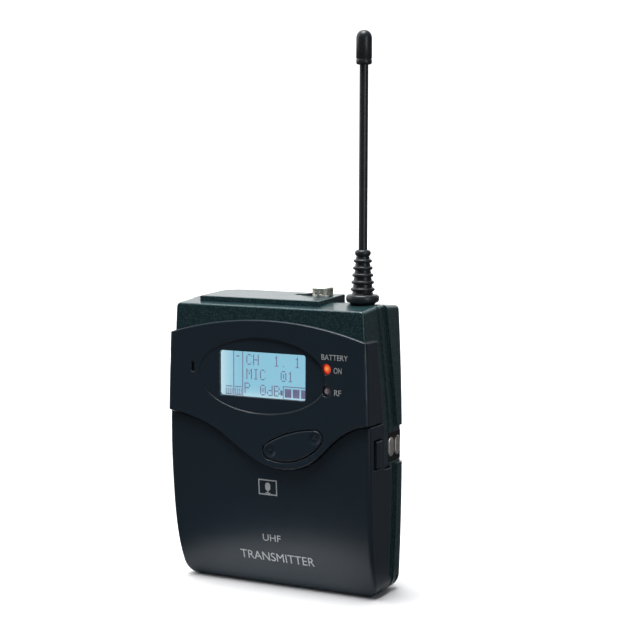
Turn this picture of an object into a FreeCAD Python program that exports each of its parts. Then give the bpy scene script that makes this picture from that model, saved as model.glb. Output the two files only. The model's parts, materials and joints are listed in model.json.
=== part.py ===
"""Wireless bodypack transmitter: belt-worn radio box with a whip antenna and a hinged battery door.

Frame: X to the right, Y to the back, Z up, in millimetres. The origin is the middle of the base:
x = 0 is the middle plane, y = 0 lies halfway between the front panel and the back wall, and the
base is at z = 0. The front panel faces -Y.
"""
import FreeCAD, Part
import math
import os

V = FreeCAD.Vector
X_AXIS = V(1, 0, 0)
Y_AXIS = V(0, 1, 0)
Z_AXIS = V(0, 0, 1)
FAR = 60.0                      # longer than the body, for cutting tools

# ------------------------------------------------------------------ driving dimensions
# Outer body
body_width = 64.4               # across the battery door at its widest
body_height = 82.0              # base to the crest of the top
body_depth = 24.0               # front panel to back wall
waist_z = 38.0                  # height of the widest point
top_narrowing = 1.3             # how much each side comes in from the waist to the top
corner_low = 5.0                # radius of the two bottom corners, seen from the front
corner_top = 1.2
back_corner = 2.4               # rounding of the back shell's rear edges
skin_step = 1.0                 # panel and door stand this far outside the housing's sides
front_slope_drop = 1.1          # top front edge below the crest
back_slope_drop = 0.8           # top back edge below the crest
back_lean = 0.6                 # back wall leans in by this much at the top

# Walls and gaps
housing_wall = 1.5
panel_thickness = 1.3
door_wall = 1.2
parting_gap = 0.25
free_gap = 0.35                 # between pieces that move past each other
seat_gap = 0.1                  # between pieces that are only placed next to each other

# Parting line of the two shells, seen from the side
crest_y = 0.2
parting_low_y = 5.0
parting_low_z = 48.0
lip_y = 3.3                     # front edge of the back shell beside the battery door
strip_low_z = 36.7              # bottom end of the front housing's side strip
pad_offset = 1.6                # side pad starts this far behind the parting line
back_grow = 0.35                # back shell's sides stand this far outside the front housing's
bead_width, bead_height = 1.9, 0.3
recess_wall = 1.6               # front housing's wall behind the door
cheek_x = 29.0                  # outer face of the front housing's cheeks beside the catches

# Front panel
arch_peak_z = 77.3
arch_end_z = 72.5
wrap_top_y = -4.8               # rear edge of the panel's side wrap, at its top end
wrap_low_y = -1.9               # and at the bottom end
dish_x, dish_z = -1.2, 61.6
dish_long, dish_short = 20.4, 10.7
dish_depth = 0.72               # at the deep left end
window_x, window_z = -1.15, 61.8
window_width, window_height = 27.5, 12.8
window_corner = 0.7
window_recess = 0.55            # pane behind the dish floor
pane_thickness = 0.8
led_x, led_upper_z, led_lower_z = 19.3, 64.8, 58.7
led_hole_radius = 1.5
led_recess = 1.0
infrared_x, infrared_z = -23.6, 62.9
infrared_width, infrared_height = 1.3, 2.8

# Battery door
door_top_recess = 1.2           # door face behind the panel face at the curved edge
door_mid_y, door_mid_z = -9.8, 26.5
door_low_y, door_low_z = -7.2, 9.6
door_toe_y, door_toe_z = -4.7, 3.1
door_heel_y = -1.2              # front edge of the flat base
base_flat = 0.4                 # the flat base cuts the round corners at this height
door_rim = 0.9                  # rounding between the door's face and its sides
door_rear_y = 3.0
door_rear_step_y = -1.3         # rear edge above the step
hinge_y, hinge_z = 2.4, 2.7
hinge_pin_radius = 0.8
hinge_ear_radius = 2.65
hinge_ear_x = 28.9              # inner face of each ear
base_seam_radius = 3.8          # round front lip of the back shell's base, about the hinge
running_clearance = 0.05

door_rib_x, door_rib_half = 20.0, 0.8     # ribs inside that press the cells back
door_rib_low_z, door_rib_top_z = 17.0, 30.0
door_rib_back_y = -6.6
door_pad_half_length, door_pad_half_height = 18.0, 2.6

# Catches
catch_y0, catch_y1 = -6.4, -3.3
catch_z0, catch_z1 = 37.4, 45.0
catch_pocket_front = 1.9        # finger hollow in front of the catch
catch_proud = 0.25

# Keys
rocker_x, rocker_z = 8.8, 43.0
rocker_length = 19.3
rocker_above, rocker_below = 3.2, 4.4    # height of the key over and under its long axis
rocker_end_radius = 2.3
rocker_tilt = 18.0              # degrees, right end up
rocker_thickness = 1.9
dimple_radius = 1.8
dimple_floor = 0.4              # depth of each dimple
rocker_proud = 0.1
rocker_foot_radius = 1.2
dimple_offset = 7.4
key_radius = 2.6
set_key_x, power_key_x, side_key_z = -20.5, 25.0, 40.2
key_travel = 0.4
mat_thickness = 1.0
dome_height = 0.35
dome_offset = 6.3               # domes under the rocker, from its middle
rocker_swing = 4.0              # degrees each way

# Display module and board
glass_width, glass_height, glass_thickness = 33.0, 16.4, 1.1
glass_behind_pane = 1.3
board_y = -5.6                  # front face of the board
board_thickness = 1.2
board_half_width = 27.6
board_low_z, board_top_z = 35.6, 78.0

shield_x0, shield_x1, shield_z0, shield_z1 = -19.0, 3.0, 52.0, 76.0
shield_height, shield_sheet = 3.0, 0.3
board_blocks = ((6.0, 12.0, 54.0, 60.0, 2.2), (14.5, 19.0, 54.0, 58.0, 1.6), (14.5, 19.5, 61.0, 64.2, 1.2),
                (-17.0, -7.0, 41.0, 48.0, 1.4))    # x0, x1, z0, z1 and height of each
board_can_x, board_can_z = (7.0, 12.2), 47.0
board_can_radius, board_can_height = 2.2, 4.2

# Power cells (AA size) and bay
cell_radius = 7.1
cell_length = 50.5
cell_y = 1.6
cell_low_z = 9.9
cell_pitch = 14.6
button_radius, button_height = 2.6, 1.2
bay_side_x = 27.3               # inner face of the bay's side walls
bay_wall = 1.3
spring_wire = 0.45
cradle_x, cradle_half = 14.0, 1.0       # webs that carry the cells
hinge_boss_radius = 2.0
contact_sheet = 0.35
contact_plate_half_y, contact_plate_half_z = 4.5, 5.0
spring_radius = 2.9

# Connector plate, audio socket and mute switch
plate_x0, plate_x1 = -24.4, 14.2
plate_y0, plate_y1 = -6.7, 9.2
plate_height = 1.6
plate_rise = 0.9                # how much the plate's top climbs towards the back
plate_corner = 5.0
socket_x, socket_y = 9.6, 4.4
socket_bore_radius = 1.8
socket_ring_radius = 3.05
socket_ring_height = 2.5
socket_body_radius = 3.3
socket_depth = 14.0
mute_length, mute_width, mute_proud = 3.2, 2.2, 0.6
mute_gap = 0.15                 # slider's end to the socket's ring
mute_offset = socket_ring_radius + mute_gap + mute_length / 2
mute_travel = 2.0
mute_switch_length = 7.4

# Antenna
antenna_x, antenna_y = 23.9, 1.0
rod_radius = 1.22
antenna_hole_radius = 2.1
rod_top_z = 150.0
tip_radius, tip_low_z, tip_top_z = 2.2, 147.8, 157.2
boot_top_z = 97.0
boot_top_radius = 2.1
boot_low_radius = 3.1
boot_flange_radius = 4.65
boot_flange_height = 2.3
boot_ribs = 5

# Charging contacts
insert_y0, insert_y1 = 2.6, 11.0
insert_z0, insert_z1 = 37.7, 46.0
contact_width, contact_height = 3.1, 5.4
contact_y = (4.6, 8.7)

# Belt clip
clip_wire_radius = 1.1
clip_y, clip_z = 8.9, 3.2       # pivot
clip_leg_x = 26.6
clip_top_z = 60.0
clip_tongue_x = 11.0
clip_tongue_low_z = 18.0
clip_gap = 0.35                 # between the legs and the back wall
clip_bend = 2.0                 # bend radius of the wire's middle line

# Screws
screw_x, screw_low_z, screw_top_z = 24.5, 50.5, 77.3
screw_head_radius, screw_radius = 1.75, 0.95
front_post_radius, back_post_radius = 2.2, 2.6

# ------------------------------------------------------------------ values that follow from them
half_width = body_width / 2
front_y = -body_depth / 2
back_y = body_depth / 2
housing_front_y = front_y + panel_thickness
top_front_z = body_height - front_slope_drop
top_back_z = body_height - back_slope_drop
side_bow = top_narrowing / (body_height - waist_z) ** 2
door_top_y = front_y + door_top_recess
cell_top_z = cell_low_z + cell_pitch
bay_back_y = cell_y + cell_radius + 0.3
bay_roof_z = cell_top_z + cell_radius + 0.4
recessed_front_gap = door_wall + free_gap
pane_front_y = front_y + dish_depth * 0.5 + window_recess
glass_front_y = pane_front_y + pane_thickness + glass_behind_pane


# ------------------------------------------------------------------ helpers
def block(x0, x1, y0, y1, z0, z1):
    return Part.makeBox(x1 - x0, y1 - y0, z1 - z0, V(x0, y0, z0))


def rod_along(axis, radius, start, length):
    return Part.makeCylinder(radius, length, start, axis)


def face_of(edges):
    return Part.Face(Part.Wire(Part.__sortEdges__(edges)))


def polygon(points):
    return Part.Face(Part.makePolygon(points + [points[0]]))


def side_polygon(points, x0, x1):
    """Prism of a polygon drawn in the side view (y, z)."""
    return polygon([V(x0, y, z) for y, z in points]).extrude(V(x1 - x0, 0, 0))


def front_prism(face, y0, y1):
    """Face drawn at y = 0, extruded from y0 to y1."""
    moved = face.copy()
    moved.translate(V(0, y0, 0))
    return moved.extrude(V(0, y1 - y0, 0))


def mirrored(shape):
    return shape.mirror(V(0, 0, 0), X_AXIS)


def both_sides(shape):
    return Part.makeCompound([shape, mirrored(shape)])


def turn_edges(shape, radius, chosen):
    """Round the edges that the test picks."""
    edges = [edge for edge in shape.Edges if chosen(edge)]
    return shape.makeFillet(radius, edges)


def in_plane(edge, axis, value, tolerance=0.02):
    """True when the whole edge lies in the plane axis = value."""
    first = getattr(edge.BoundBox, axis + "Min")
    last = getattr(edge.BoundBox, axis + "Max")
    return abs(first - value) < tolerance and abs(last - value) < tolerance


def half_at(z, grow=0.0):
    """Half width of the housing at a height, plus a growth."""
    return half_width - skin_step - side_bow * (z - waist_z) ** 2 + grow


def rounded_rectangle(width, height, radius):
    """Rounded rectangle about the origin of the XZ plane."""
    a, b = width / 2, height / 2
    c = radius * (1 - math.sqrt(0.5))
    edges = []
    for sx, sz in ((1, 1), (1, -1), (-1, -1), (-1, 1)):
        on_side = V(sx * a, 0, sz * (b - radius))
        on_end = V(sx * (a - radius), 0, sz * b)
        edges.append(Part.Arc(on_side, V(sx * (a - c), 0, sz * (b - c)), on_end).toShape())
    for s in (1, -1):
        edges.append(Part.makeLine(V(s * a, 0, b - radius), V(s * a, 0, radius - b)))
        edges.append(Part.makeLine(V(a - radius, 0, s * b), V(radius - a, 0, s * b)))
    return face_of(edges)


def front_outline(grow, low_z, top_z, low_radius, top_radius):
    """Outline seen from the front: bowed sides with rounded bottom and top corners."""
    edges = []
    lower = V(half_at(low_z + low_radius, grow), 0, low_z + low_radius)
    upper = V(half_at(top_z - top_radius, grow), 0, top_z - top_radius)
    middle_z = (lower.z + upper.z) / 2
    middle = V(half_at(middle_z, grow), 0, middle_z)
    bottom = V(lower.x - low_radius, 0, low_z)
    crown = V(upper.x - top_radius, 0, top_z)
    slant = math.sqrt(0.5)
    low_mid = V(bottom.x + low_radius * slant, 0, lower.z - low_radius * slant)
    top_mid = V(crown.x + top_radius * slant, 0, upper.z + top_radius * slant)
    for s in (1, -1):
        def at(p):
            return V(s * p.x, 0, p.z)
        edges.append(Part.Arc(at(lower), at(middle), at(upper)).toShape())
        edges.append(Part.Arc(at(bottom), at(low_mid), at(lower)).toShape())
        edges.append(Part.Arc(at(upper), at(top_mid), at(crown)).toShape())
    edges.append(Part.makeLine(V(-bottom.x, 0, low_z), bottom))
    edges.append(Part.makeLine(V(-crown.x, 0, top_z), crown))
    return face_of(edges)


def parting_y(z):
    """Parting line between the shells, on the sides."""
    if z < parting_low_z:
        return parting_low_y
    share = (z - parting_low_z) / (body_height - parting_low_z)
    return parting_low_y + share * (crest_y - parting_low_y)


def shell_profile(inset, low_z):
    """Side view of the two shells together, as a polygon (y, z)."""
    lean = back_lean * low_z / body_height
    return [(housing_front_y + inset, low_z), (housing_front_y + inset, top_front_z - inset),
            (crest_y, body_height - inset), (back_y - back_lean - inset, top_back_z - inset),
            (back_y - inset - lean, low_z)]


def shell_body(grow, inset, low_z):
    """Solid inside the shells' skin, for a side growth and an inset of the other walls."""
    top_z = body_height + 1.0
    radius = max(corner_low - inset, 1.0)
    outline = front_outline(grow - inset, low_z, top_z - inset, radius, 0.3)
    side = side_polygon(shell_profile(inset, low_z), -FAR, FAR)
    return front_prism(outline, -FAR, FAR).common(side)


def curved_edge(drop):
    """Swept S-shaped line between panel and door, as an edge lowered by a drop."""
    reach = half_width + 1.5
    points = [(-reach, 50.0), (-25.0, 48.7), (-14.6, 44.7), (-6.0, 39.2), (4.8, 35.8),
              (14.0, 38.0), (20.6, 43.9), (26.0, 48.0), (reach, 49.7)]
    curve = Part.BSplineCurve()
    curve.interpolate([V(x, 0, z - drop) for x, z in points])
    return curve.toShape(), points[0][1] - drop, points[-1][1] - drop, reach


def below_curve(drop, low_z=-10.0):
    """Everything below the S-shaped line."""
    edge, left_z, right_z, reach = curved_edge(drop)
    edges = [edge, Part.makeLine(V(reach, 0, right_z), V(reach, 0, low_z)),
             Part.makeLine(V(reach, 0, low_z), V(-reach, 0, low_z)),
             Part.makeLine(V(-reach, 0, low_z), V(-reach, 0, left_z))]
    return front_prism(face_of(edges), -FAR, FAR)


def below_arch(rise=0.0):
    """Everything below the panel's arched top edge."""
    ends = half_at(arch_end_z, skin_step)
    reach = half_width + 1.5
    sag = (arch_peak_z - arch_end_z) * (reach / ends) ** 2
    left = V(-reach, 0, arch_peak_z - sag + rise)
    right = V(reach, 0, arch_peak_z - sag + rise)
    edges = [Part.Arc(left, V(0, 0, arch_peak_z + rise), right).toShape(),
             Part.makeLine(right, V(reach, 0, -10)), Part.makeLine(V(reach, 0, -10), V(-reach, 0, -10)),
             Part.makeLine(V(-reach, 0, -10), left)]
    return front_prism(face_of(edges), -FAR, FAR)


def door_body(inset):
    """Solid inside the door's outer skin: bowed sides and a front that curls under the base."""
    grow = skin_step - inset
    top_z = body_height - 10.0
    outline = front_outline(grow, inset - base_flat, top_z, corner_low - inset, 0.5)
    top = V(0, door_top_y + inset, top_z)
    knee = V(0, door_top_y + inset, parting_low_z)
    mid = V(0, door_mid_y + inset, door_mid_z)
    low = V(0, door_low_y + inset * 0.96, door_low_z + inset * 0.25)
    toe = V(0, door_toe_y + inset * 0.75, door_toe_z + inset * 0.7)
    heel = V(0, door_heel_y, inset)
    front = Part.BSplineCurve()
    front.interpolate([knee, mid, low, toe, heel], InitialTangent=V(0, 0, -10), FinalTangent=V(0, 3, 0))
    edges = [Part.makeLine(top, knee), front.toShape(), Part.makeLine(heel, V(0, FAR, inset)),
             Part.makeLine(V(0, FAR, inset), V(0, FAR, top_z)), Part.makeLine(V(0, FAR, top_z), top)]
    side = face_of(edges)
    side.translate(V(-FAR, 0, 0))
    return front_prism(outline, -FAR, FAR).common(side.extrude(V(2 * FAR, 0, 0)))


def leaf_face(grow):
    """Bean-shaped outline of the rocker key: two round ends, joined by two arcs tangent to them."""
    end = rocker_end_radius + grow
    end_x = rocker_length / 2 - rocker_end_radius
    edges = []
    corners = {}
    for side, reach in ((1, rocker_above + grow), (-1, rocker_below + grow)):
        bow = (reach ** 2 - end ** 2 + end_x ** 2) / (2 * (reach - end))
        centre = V(0, 0, side * (reach - bow))
        for s in (-1, 1):
            outward = (V(s * end_x, 0, 0) - centre).normalize()
            corners[side, s] = centre + outward * bow
        edges.append(Part.Arc(corners[side, -1], V(0, 0, side * reach), corners[side, 1]).toShape())
    for s in (-1, 1):
        edges.append(Part.Arc(corners[1, s], V(s * (end_x + end), 0, 0), corners[-1, s]).toShape())
    face = face_of(edges)
    face.rotate(V(0, 0, 0), Y_AXIS, -rocker_tilt)
    face.translate(V(rocker_x, 0, rocker_z))
    return face


def tube(points, radius, bend):
    """Round bar along straight runs joined by arcs of one bend radius."""
    edges = []
    start = points[0]
    for before, corner, after in zip(points, points[1:], points[2:]):
        a = (before - corner).normalize()
        b = (after - corner).normalize()
        half_angle = a.getAngle(b) / 2
        cut = bend / math.tan(half_angle)
        first = corner + a * cut
        last = corner + b * cut
        toward = (a + b).normalize()
        centre = corner + toward * (bend / math.sin(half_angle))
        edges.append(Part.makeLine(start, first))
        edges.append(Part.Arc(first, centre - toward * bend, last).toShape())
        start = last
    edges.append(Part.makeLine(start, points[-1]))
    path = Part.Wire(edges)
    ring = Part.Wire(Part.makeCircle(radius, points[0], points[1] - points[0]))
    return path.makePipeShell([ring], True, False)


def plate_face(inset=0.0):
    """Plan of the connector plate: square in front, rounded rear left corner."""
    x0, x1 = plate_x0 + inset, plate_x1 - inset
    y0, y1 = plate_y0 + inset, plate_y1 - inset
    r = plate_corner - inset
    c = r * (1 - math.sqrt(0.5))
    points = [V(x0, y1 - r, 0), V(x0, y0, 0), V(x1, y0, 0), V(x1, y1, 0), V(x0 + r, y1, 0)]
    edges = [Part.makeLine(p, q) for p, q in zip(points, points[1:])]
    edges.append(Part.Arc(points[-1], V(x0 + c, y1 - c, 0), points[0]).toShape())
    return face_of(edges)


# ------------------------------------------------------------------ shared cutters
def front_of_parting(shift):
    """Everything in front of the parting line, moved back by a shift."""
    points = [(-FAR, strip_low_z - 3.0), (parting_low_y + shift, strip_low_z - 3.0),
              (parting_low_y + shift, parting_low_z), (crest_y + shift, body_height),
              (crest_y + shift, FAR * 2), (-FAR, FAR * 2)]
    return side_polygon(points, -FAR, FAR)


def behind_parting(shift):
    points = [(FAR, -5.0), (lip_y, -5.0), (lip_y, strip_low_z), (parting_low_y + shift, strip_low_z),
              (parting_low_y + shift, parting_low_z), (crest_y + shift, body_height),
              (crest_y + shift, FAR * 2), (FAR, FAR * 2)]
    return side_polygon(points, -FAR, FAR)


def insert_cutter():
    return block(half_width - 3.2, half_width + 2, insert_y0, back_y + 1, insert_z0, insert_z1)


def screw_places():
    return [(s * screw_x, z) for s in (1, -1) for z in (screw_low_z, screw_top_z - 5.0)]


def clip_route():
    """Half of the belt clip's wire, right side, from the pivot end to the tongue's middle."""
    leg_y = back_y + clip_gap + clip_wire_radius
    return [V(half_width - 1.6, clip_y, clip_z), V(clip_leg_x, clip_y, clip_z),
            V(clip_leg_x, leg_y, clip_z + 1.0), V(clip_leg_x, leg_y, clip_top_z),
            V(clip_tongue_x, leg_y + 1.0, clip_top_z), V(clip_tongue_x, leg_y + 1.6, clip_tongue_low_z),
            V(0, leg_y + 1.6, clip_tongue_low_z)]


# ------------------------------------------------------------------ shells
def make_front_housing():
    outer = round_top_corners(shell_body(0.0, 0.0, -2.0))
    outer = turn_edges(outer, 0.6, lambda e: in_plane(e, "Y", housing_front_y) and e.BoundBox.ZMax > 60)
    body = outer.common(front_of_parting(-parting_gap / 2))
    # a raised bead runs round the rear edge of the front housing
    band = front_of_parting(-parting_gap / 2).cut(front_of_parting(-bead_width))
    bead = round_top_corners(shell_body(bead_height, 0.0, -2.0)).common(band)
    body = body.fuse(bead).cut(shell_body(0.0, housing_wall, -2.0))
    # below the S-shaped line the walls step back, to leave room for the door and its catches
    low = below_curve(0.0)
    behind_door = door_body(recessed_front_gap)
    door_side = block(-FAR, FAR, -FAR, door_rear_step_y + free_gap, -5, FAR)
    body = body.cut(low.common(door_side))
    under_strip = block(-FAR, FAR, -FAR, FAR, -5, strip_low_z)
    body = body.cut(under_strip.cut(behind_door.common(block(-FAR, FAR, -FAR, lip_y - free_gap, -5, FAR))))
    foot_z = bay_roof_z + bay_wall + 0.3
    wall_back_y = door_top_y + recessed_front_gap + recess_wall
    wall = block(-cheek_x, cheek_x, -FAR, wall_back_y, foot_z, 52.0)
    wall = wall.fuse(block(-cheek_x, cheek_x, -FAR, door_rear_step_y + 2.5, foot_z, 52.0).cut(
        block(1.0 - cheek_x, cheek_x - 1.0, -FAR, FAR, -5, FAR)))
    body = body.fuse(wall.common(behind_door).common(low))
    side_end = block(cheek_x - 1.0, half_width - 1.6, door_rear_step_y + free_gap, door_rear_step_y + 1.4,
                     strip_low_z, 52.0)
    body = body.fuse(side_end).fuse(mirrored(side_end))
    # openings of the front wall
    glass = block(window_x - glass_width / 2 - 1.3, window_x + glass_width / 2 + 1.3, -FAR, -6.5,
                  window_z - glass_height / 2 - 1.2, window_z + glass_height / 2 + 1.2)
    cuts = [glass, front_prism(leaf_face(0.9), -FAR, -5), insert_cutter(), mirrored(insert_cutter())]
    for z in (led_upper_z, led_lower_z):
        cuts.append(rod_along(Y_AXIS, led_hole_radius + 0.4, V(led_x, -FAR, z), FAR - 5))
    cuts.append(block(infrared_x - 1.6, infrared_x + 1.6, -FAR, -5, infrared_z - 2.3, infrared_z + 2.3))
    for x in (set_key_x, power_key_x):
        cuts.append(rod_along(Y_AXIS, key_radius + free_gap, V(x, -FAR, side_key_z), FAR - 5))
    cuts.append(rod_along(Z_AXIS, antenna_hole_radius, V(antenna_x, antenna_y, 60), 40))
    cuts.append(plate_seat())
    for cut in cuts:
        body = body.cut(cut)
    for x, z in screw_places():
        post_start = board_y + board_thickness + 0.2
        post = rod_along(Y_AXIS, front_post_radius, V(x, post_start, z), parting_y(z) - board_y - 1.7)
        link = block(min(x, x + math.copysign(6.5, x)), max(x, x + math.copysign(6.5, x)),
                     board_y + 1.4, parting_y(z) - 0.5, z - 0.7, z + 0.7)
        link = link.common(shell_body(0.0, 0.8, -2.0))
        body = body.fuse(post.fuse(link))
        body = body.cut(rod_along(Y_AXIS, screw_radius, V(x, board_y + 2.5, z), FAR))
    return body.removeSplitter()


def round_top_corners(shape):
    return turn_edges(shape, corner_top, lambda e: e.BoundBox.ZMin > top_back_z - 2.6
                      and abs(e.CenterOfMass.x) > half_width - 5 and e.BoundBox.XLength < 0.5
                      and e.BoundBox.YLength > 3)


def round_back(shape):
    """Round the edges all round the back wall."""
    return turn_edges(shape, back_corner, lambda e: e.BoundBox.YMin > back_y - back_lean - 0.15)


def plate_seat():
    """Notch in the top of both shells that takes the connector plate."""
    foot = plate_face(-seat_gap)
    foot.translate(V(0, 0, body_height - 2.6))
    return foot.extrude(V(0, 0, 10))


def make_back_housing():
    grow = back_grow
    outer = round_top_corners(round_back(shell_body(grow, 0.0, 0.0)))
    pad = round_top_corners(round_back(shell_body(skin_step, 0.0, 0.0)))
    pad_zone = behind_parting(pad_offset + parting_gap / 2)
    low_pad = pad_zone.common(block(-FAR, FAR, lip_y + 3.4, FAR, -5, insert_z0 - 0.7))
    pad = pad.common(pad_zone.common(block(-FAR, FAR, -FAR, FAR, insert_z1 + 1.6, FAR * 2)).fuse(low_pad))
    outer = outer.fuse(pad)
    outer = outer.removeSplitter()
    behind = behind_parting(parting_gap / 2)
    ear_room = rod_along(X_AXIS, hinge_ear_radius + free_gap, V(-FAR, hinge_y, hinge_z), 2 * FAR)
    lip = base_seam(base_seam_radius, bay_side_x - free_gap).common(block(-FAR, FAR, -FAR, FAR, -5, hinge_z))
    body = outer.common(behind.cut(ear_room).fuse(lip))
    inner = shell_body(grow, housing_wall, 1.4)
    body = body.cut(inner)
    cuts = [insert_cutter(), mirrored(insert_cutter()), plate_seat(),
            rod_along(Z_AXIS, antenna_hole_radius, V(antenna_x, antenna_y, 60), 40)]
    leg_hole = rod_along(X_AXIS, clip_wire_radius + 0.25, V(clip_leg_x - 2, clip_y, clip_z), FAR)
    slot = block(clip_leg_x - clip_wire_radius - free_gap, clip_leg_x + clip_wire_radius + 1.3,
                 clip_y - clip_wire_radius - 0.5, FAR, clip_z - clip_wire_radius - 0.9,
                 clip_z + clip_wire_radius + 3.2)
    cuts += [leg_hole, mirrored(leg_hole), slot, mirrored(slot)]
    groove = shell_body(grow, 0.0, -2).cut(shell_body(grow - 0.45, 0.0, -2))
    groove = groove.common(block(-FAR, FAR, lip_y + 1.6, lip_y + 2.1, -5, strip_low_z))
    cuts.append(groove)
    for cut in cuts:
        body = body.cut(cut)
    for x, z in screw_places():
        post_length = back_y - back_lean - 1.2 - parting_y(z)
        post = rod_along(Y_AXIS, back_post_radius, V(x, parting_y(z) + 0.3, z), post_length)
        body = body.fuse(post)
        body = body.cut(rod_along(Y_AXIS, screw_radius + 0.15, V(x, -FAR, z), 2 * FAR))
        body = body.cut(rod_along(Y_AXIS, screw_head_radius + 0.15, V(x, back_y - 3.2, z), FAR))
    return body.removeSplitter()


def make_front_panel():
    outline = front_outline(skin_step, -2.0, body_height + 4, 1.0, 0.3)
    outer = front_prism(outline, front_y, FAR)
    outer = turn_edges(outer, 0.9, lambda e: in_plane(e, "Y", front_y))
    rear = side_polygon([(-FAR, arch_end_z), (wrap_top_y, arch_end_z), (wrap_low_y, parting_low_z),
                         (wrap_low_y, -5), (-FAR, -5)], -FAR, FAR)
    rear = rear.fuse(block(-FAR, FAR, -FAR, wrap_top_y, arch_end_z - 1, FAR * 2))
    body = outer.common(rear).common(below_arch())
    body = body.cut(below_curve(0.0))
    core_outline = front_outline(0.0, -2.0, body_height + 4, 1.0, 0.3)
    body = body.cut(front_prism(core_outline, housing_front_y, FAR))
    body = turn_edges(body, 0.35, lambda e: in_plane(e, "Y", front_y) and e.Length > 20)
    # shallow oval dish, deep at its left end and running out on the right
    ellipse = Part.Ellipse(V(0, 0, 0), dish_long, dish_short)
    dish = Part.Face(Part.Wire(ellipse.toShape()))
    dish.rotate(V(0, 0, 0), X_AXIS, 90)
    dish = dish.extrude(V(0, -4, 0))
    dish.rotate(V(0, 0, 0), Z_AXIS, math.degrees(math.atan2(dish_depth - 0.06, 2 * dish_long)))
    dish.translate(V(dish_x, front_y + (dish_depth + 0.06) / 2, dish_z))
    body = body.cut(dish)
    window = rounded_rectangle(window_width, window_height, window_corner)
    window.translate(V(window_x, 0, window_z))
    cuts = [front_prism(window, -FAR, 0), front_prism(leaf_face(0.35), -FAR, 0)]
    for z in (led_upper_z, led_lower_z):
        cuts.append(rod_along(Y_AXIS, led_hole_radius, V(led_x, -FAR, z), FAR))
    slot = rounded_rectangle(infrared_width, infrared_height, 0.4)
    slot.translate(V(infrared_x, 0, infrared_z))
    cuts.append(front_prism(slot, -FAR, 0))
    for cut in cuts:
        body = body.cut(cut)
    return body


# ------------------------------------------------------------------ battery door and its parts
def catch_pocket(grow):
    return block(half_width - 2.5, half_width + 3, catch_y0 - catch_pocket_front - grow, catch_y1 + 0.25 + grow,
                 catch_z0 - 0.25 - grow, catch_z1 + 0.6 + grow)


def base_seam(radius, reach):
    """Drum about the hinge axis, out to a reach on both sides."""
    return rod_along(X_AXIS, radius, V(-reach, hinge_y, hinge_z), 2 * reach)


def make_battery_door():
    outer = turn_edges(door_body(0.0), door_rim, lambda e: abs(e.CenterOfMass.x) > half_width - 3
                       and e.BoundBox.YMax < -1 and e.BoundBox.XLength < 2 and e.BoundBox.ZMin < 50)
    body = outer.cut(door_body(door_wall))
    rear = side_polygon([(-FAR, FAR * 2), (door_rear_step_y, FAR * 2), (door_rear_step_y, strip_low_z - free_gap),
                         (door_rear_y, strip_low_z - free_gap), (door_rear_y, -5), (-FAR, -5)], -FAR, FAR)
    body = body.common(rear).common(below_curve(free_gap + 0.05))
    # the base ends in front of the hinge, so that it swings down clear of the back shell
    body = body.cut(block(-FAR, FAR, hinge_y - hinge_ear_radius - free_gap, FAR, -5, hinge_z))
    body = body.cut(base_seam(base_seam_radius + parting_gap, hinge_ear_x))
    ear = rod_along(X_AXIS, hinge_ear_radius, V(hinge_ear_x, hinge_y, hinge_z), FAR)
    web = block(hinge_ear_x, hinge_ear_x + door_wall, door_toe_y, hinge_y, hinge_z - 0.6, hinge_z + 1.5)
    ear = ear.fuse(web).common(door_body(0.0))
    body = body.fuse(ear).fuse(mirrored(ear))
    bore = rod_along(X_AXIS, hinge_pin_radius + running_clearance, V(hinge_ear_x - 1, hinge_y, hinge_z), 2.4)
    pocket = catch_pocket(0.0)
    for cut in (bore, mirrored(bore), pocket, mirrored(pocket)):
        body = body.cut(cut)
    # two ribs inside press the cells back into their bay
    for x in (-door_rib_x, door_rib_x):
        rib = block(x - door_rib_half, x + door_rib_half, -FAR, door_rib_back_y, door_rib_low_z, door_rib_top_z)
        rib = rib.common(door_body(door_wall - 0.2))
        body = body.fuse(rib)
    return body.removeSplitter()


def make_catch():
    """Right-hand catch: a push pad with a finger hollow's floor and a stub that guides it."""
    face_x = half_at(41.0, skin_step) + catch_proud
    pad = block(face_x - 1.9, face_x, catch_y0, catch_y1, catch_z0, catch_z1)
    pad = turn_edges(pad, 0.35, lambda e: in_plane(e, "X", face_x))
    flange_x = half_at(catch_z1, skin_step) - door_wall - 0.12
    flange = block(flange_x - 0.55, flange_x, catch_y0 - catch_pocket_front - 0.5, catch_y1 + 0.9,
                   catch_z0 - 0.7, catch_z1 + 1.1)
    flange = flange.common(door_body(door_wall + 0.1))
    return pad.fuse(flange).removeSplitter()


def make_hinge_pin():
    start = bay_side_x - 0.4
    return rod_along(X_AXIS, hinge_pin_radius, V(start, hinge_y, hinge_z), hinge_ear_x + 1.1 - start)


def make_door_pad():
    """Foam strip inside the door that keeps the cells quiet."""
    strip = block(-door_pad_half_length, door_pad_half_length, -FAR, cell_y - cell_radius - 0.3,
                  cell_top_z - door_pad_half_height, cell_top_z + door_pad_half_height)
    return strip.common(door_body(door_wall))


# ------------------------------------------------------------------ keys
def make_rocker_key():
    front = front_y - rocker_proud
    body = front_prism(leaf_face(0.0), front, front + rocker_thickness)
    body = turn_edges(body, 0.35, lambda e: in_plane(e, "Y", front))
    tilt = math.radians(rocker_tilt)
    along = V(math.cos(tilt), 0, math.sin(tilt))
    for s in (1, -1):
        centre = V(rocker_x, 0, rocker_z) + along * (s * dimple_offset)
        ball_radius = (dimple_radius ** 2 + dimple_floor ** 2) / (2 * dimple_floor)
        ball = Part.makeSphere(ball_radius, V(centre.x, front + dimple_floor - ball_radius, centre.z))
        body = body.cut(ball)
    for s in (1, -1):
        centre = V(rocker_x, 0, rocker_z) + along * (s * dome_offset)
        foot_end = dome_face_y() - 0.3 - dome_offset * math.sin(math.radians(rocker_swing))
        foot_start = front + rocker_thickness - 0.2
        body = body.fuse(rod_along(Y_AXIS, rocker_foot_radius, V(centre.x, foot_start, centre.z), foot_end - foot_start))
    return body


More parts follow.
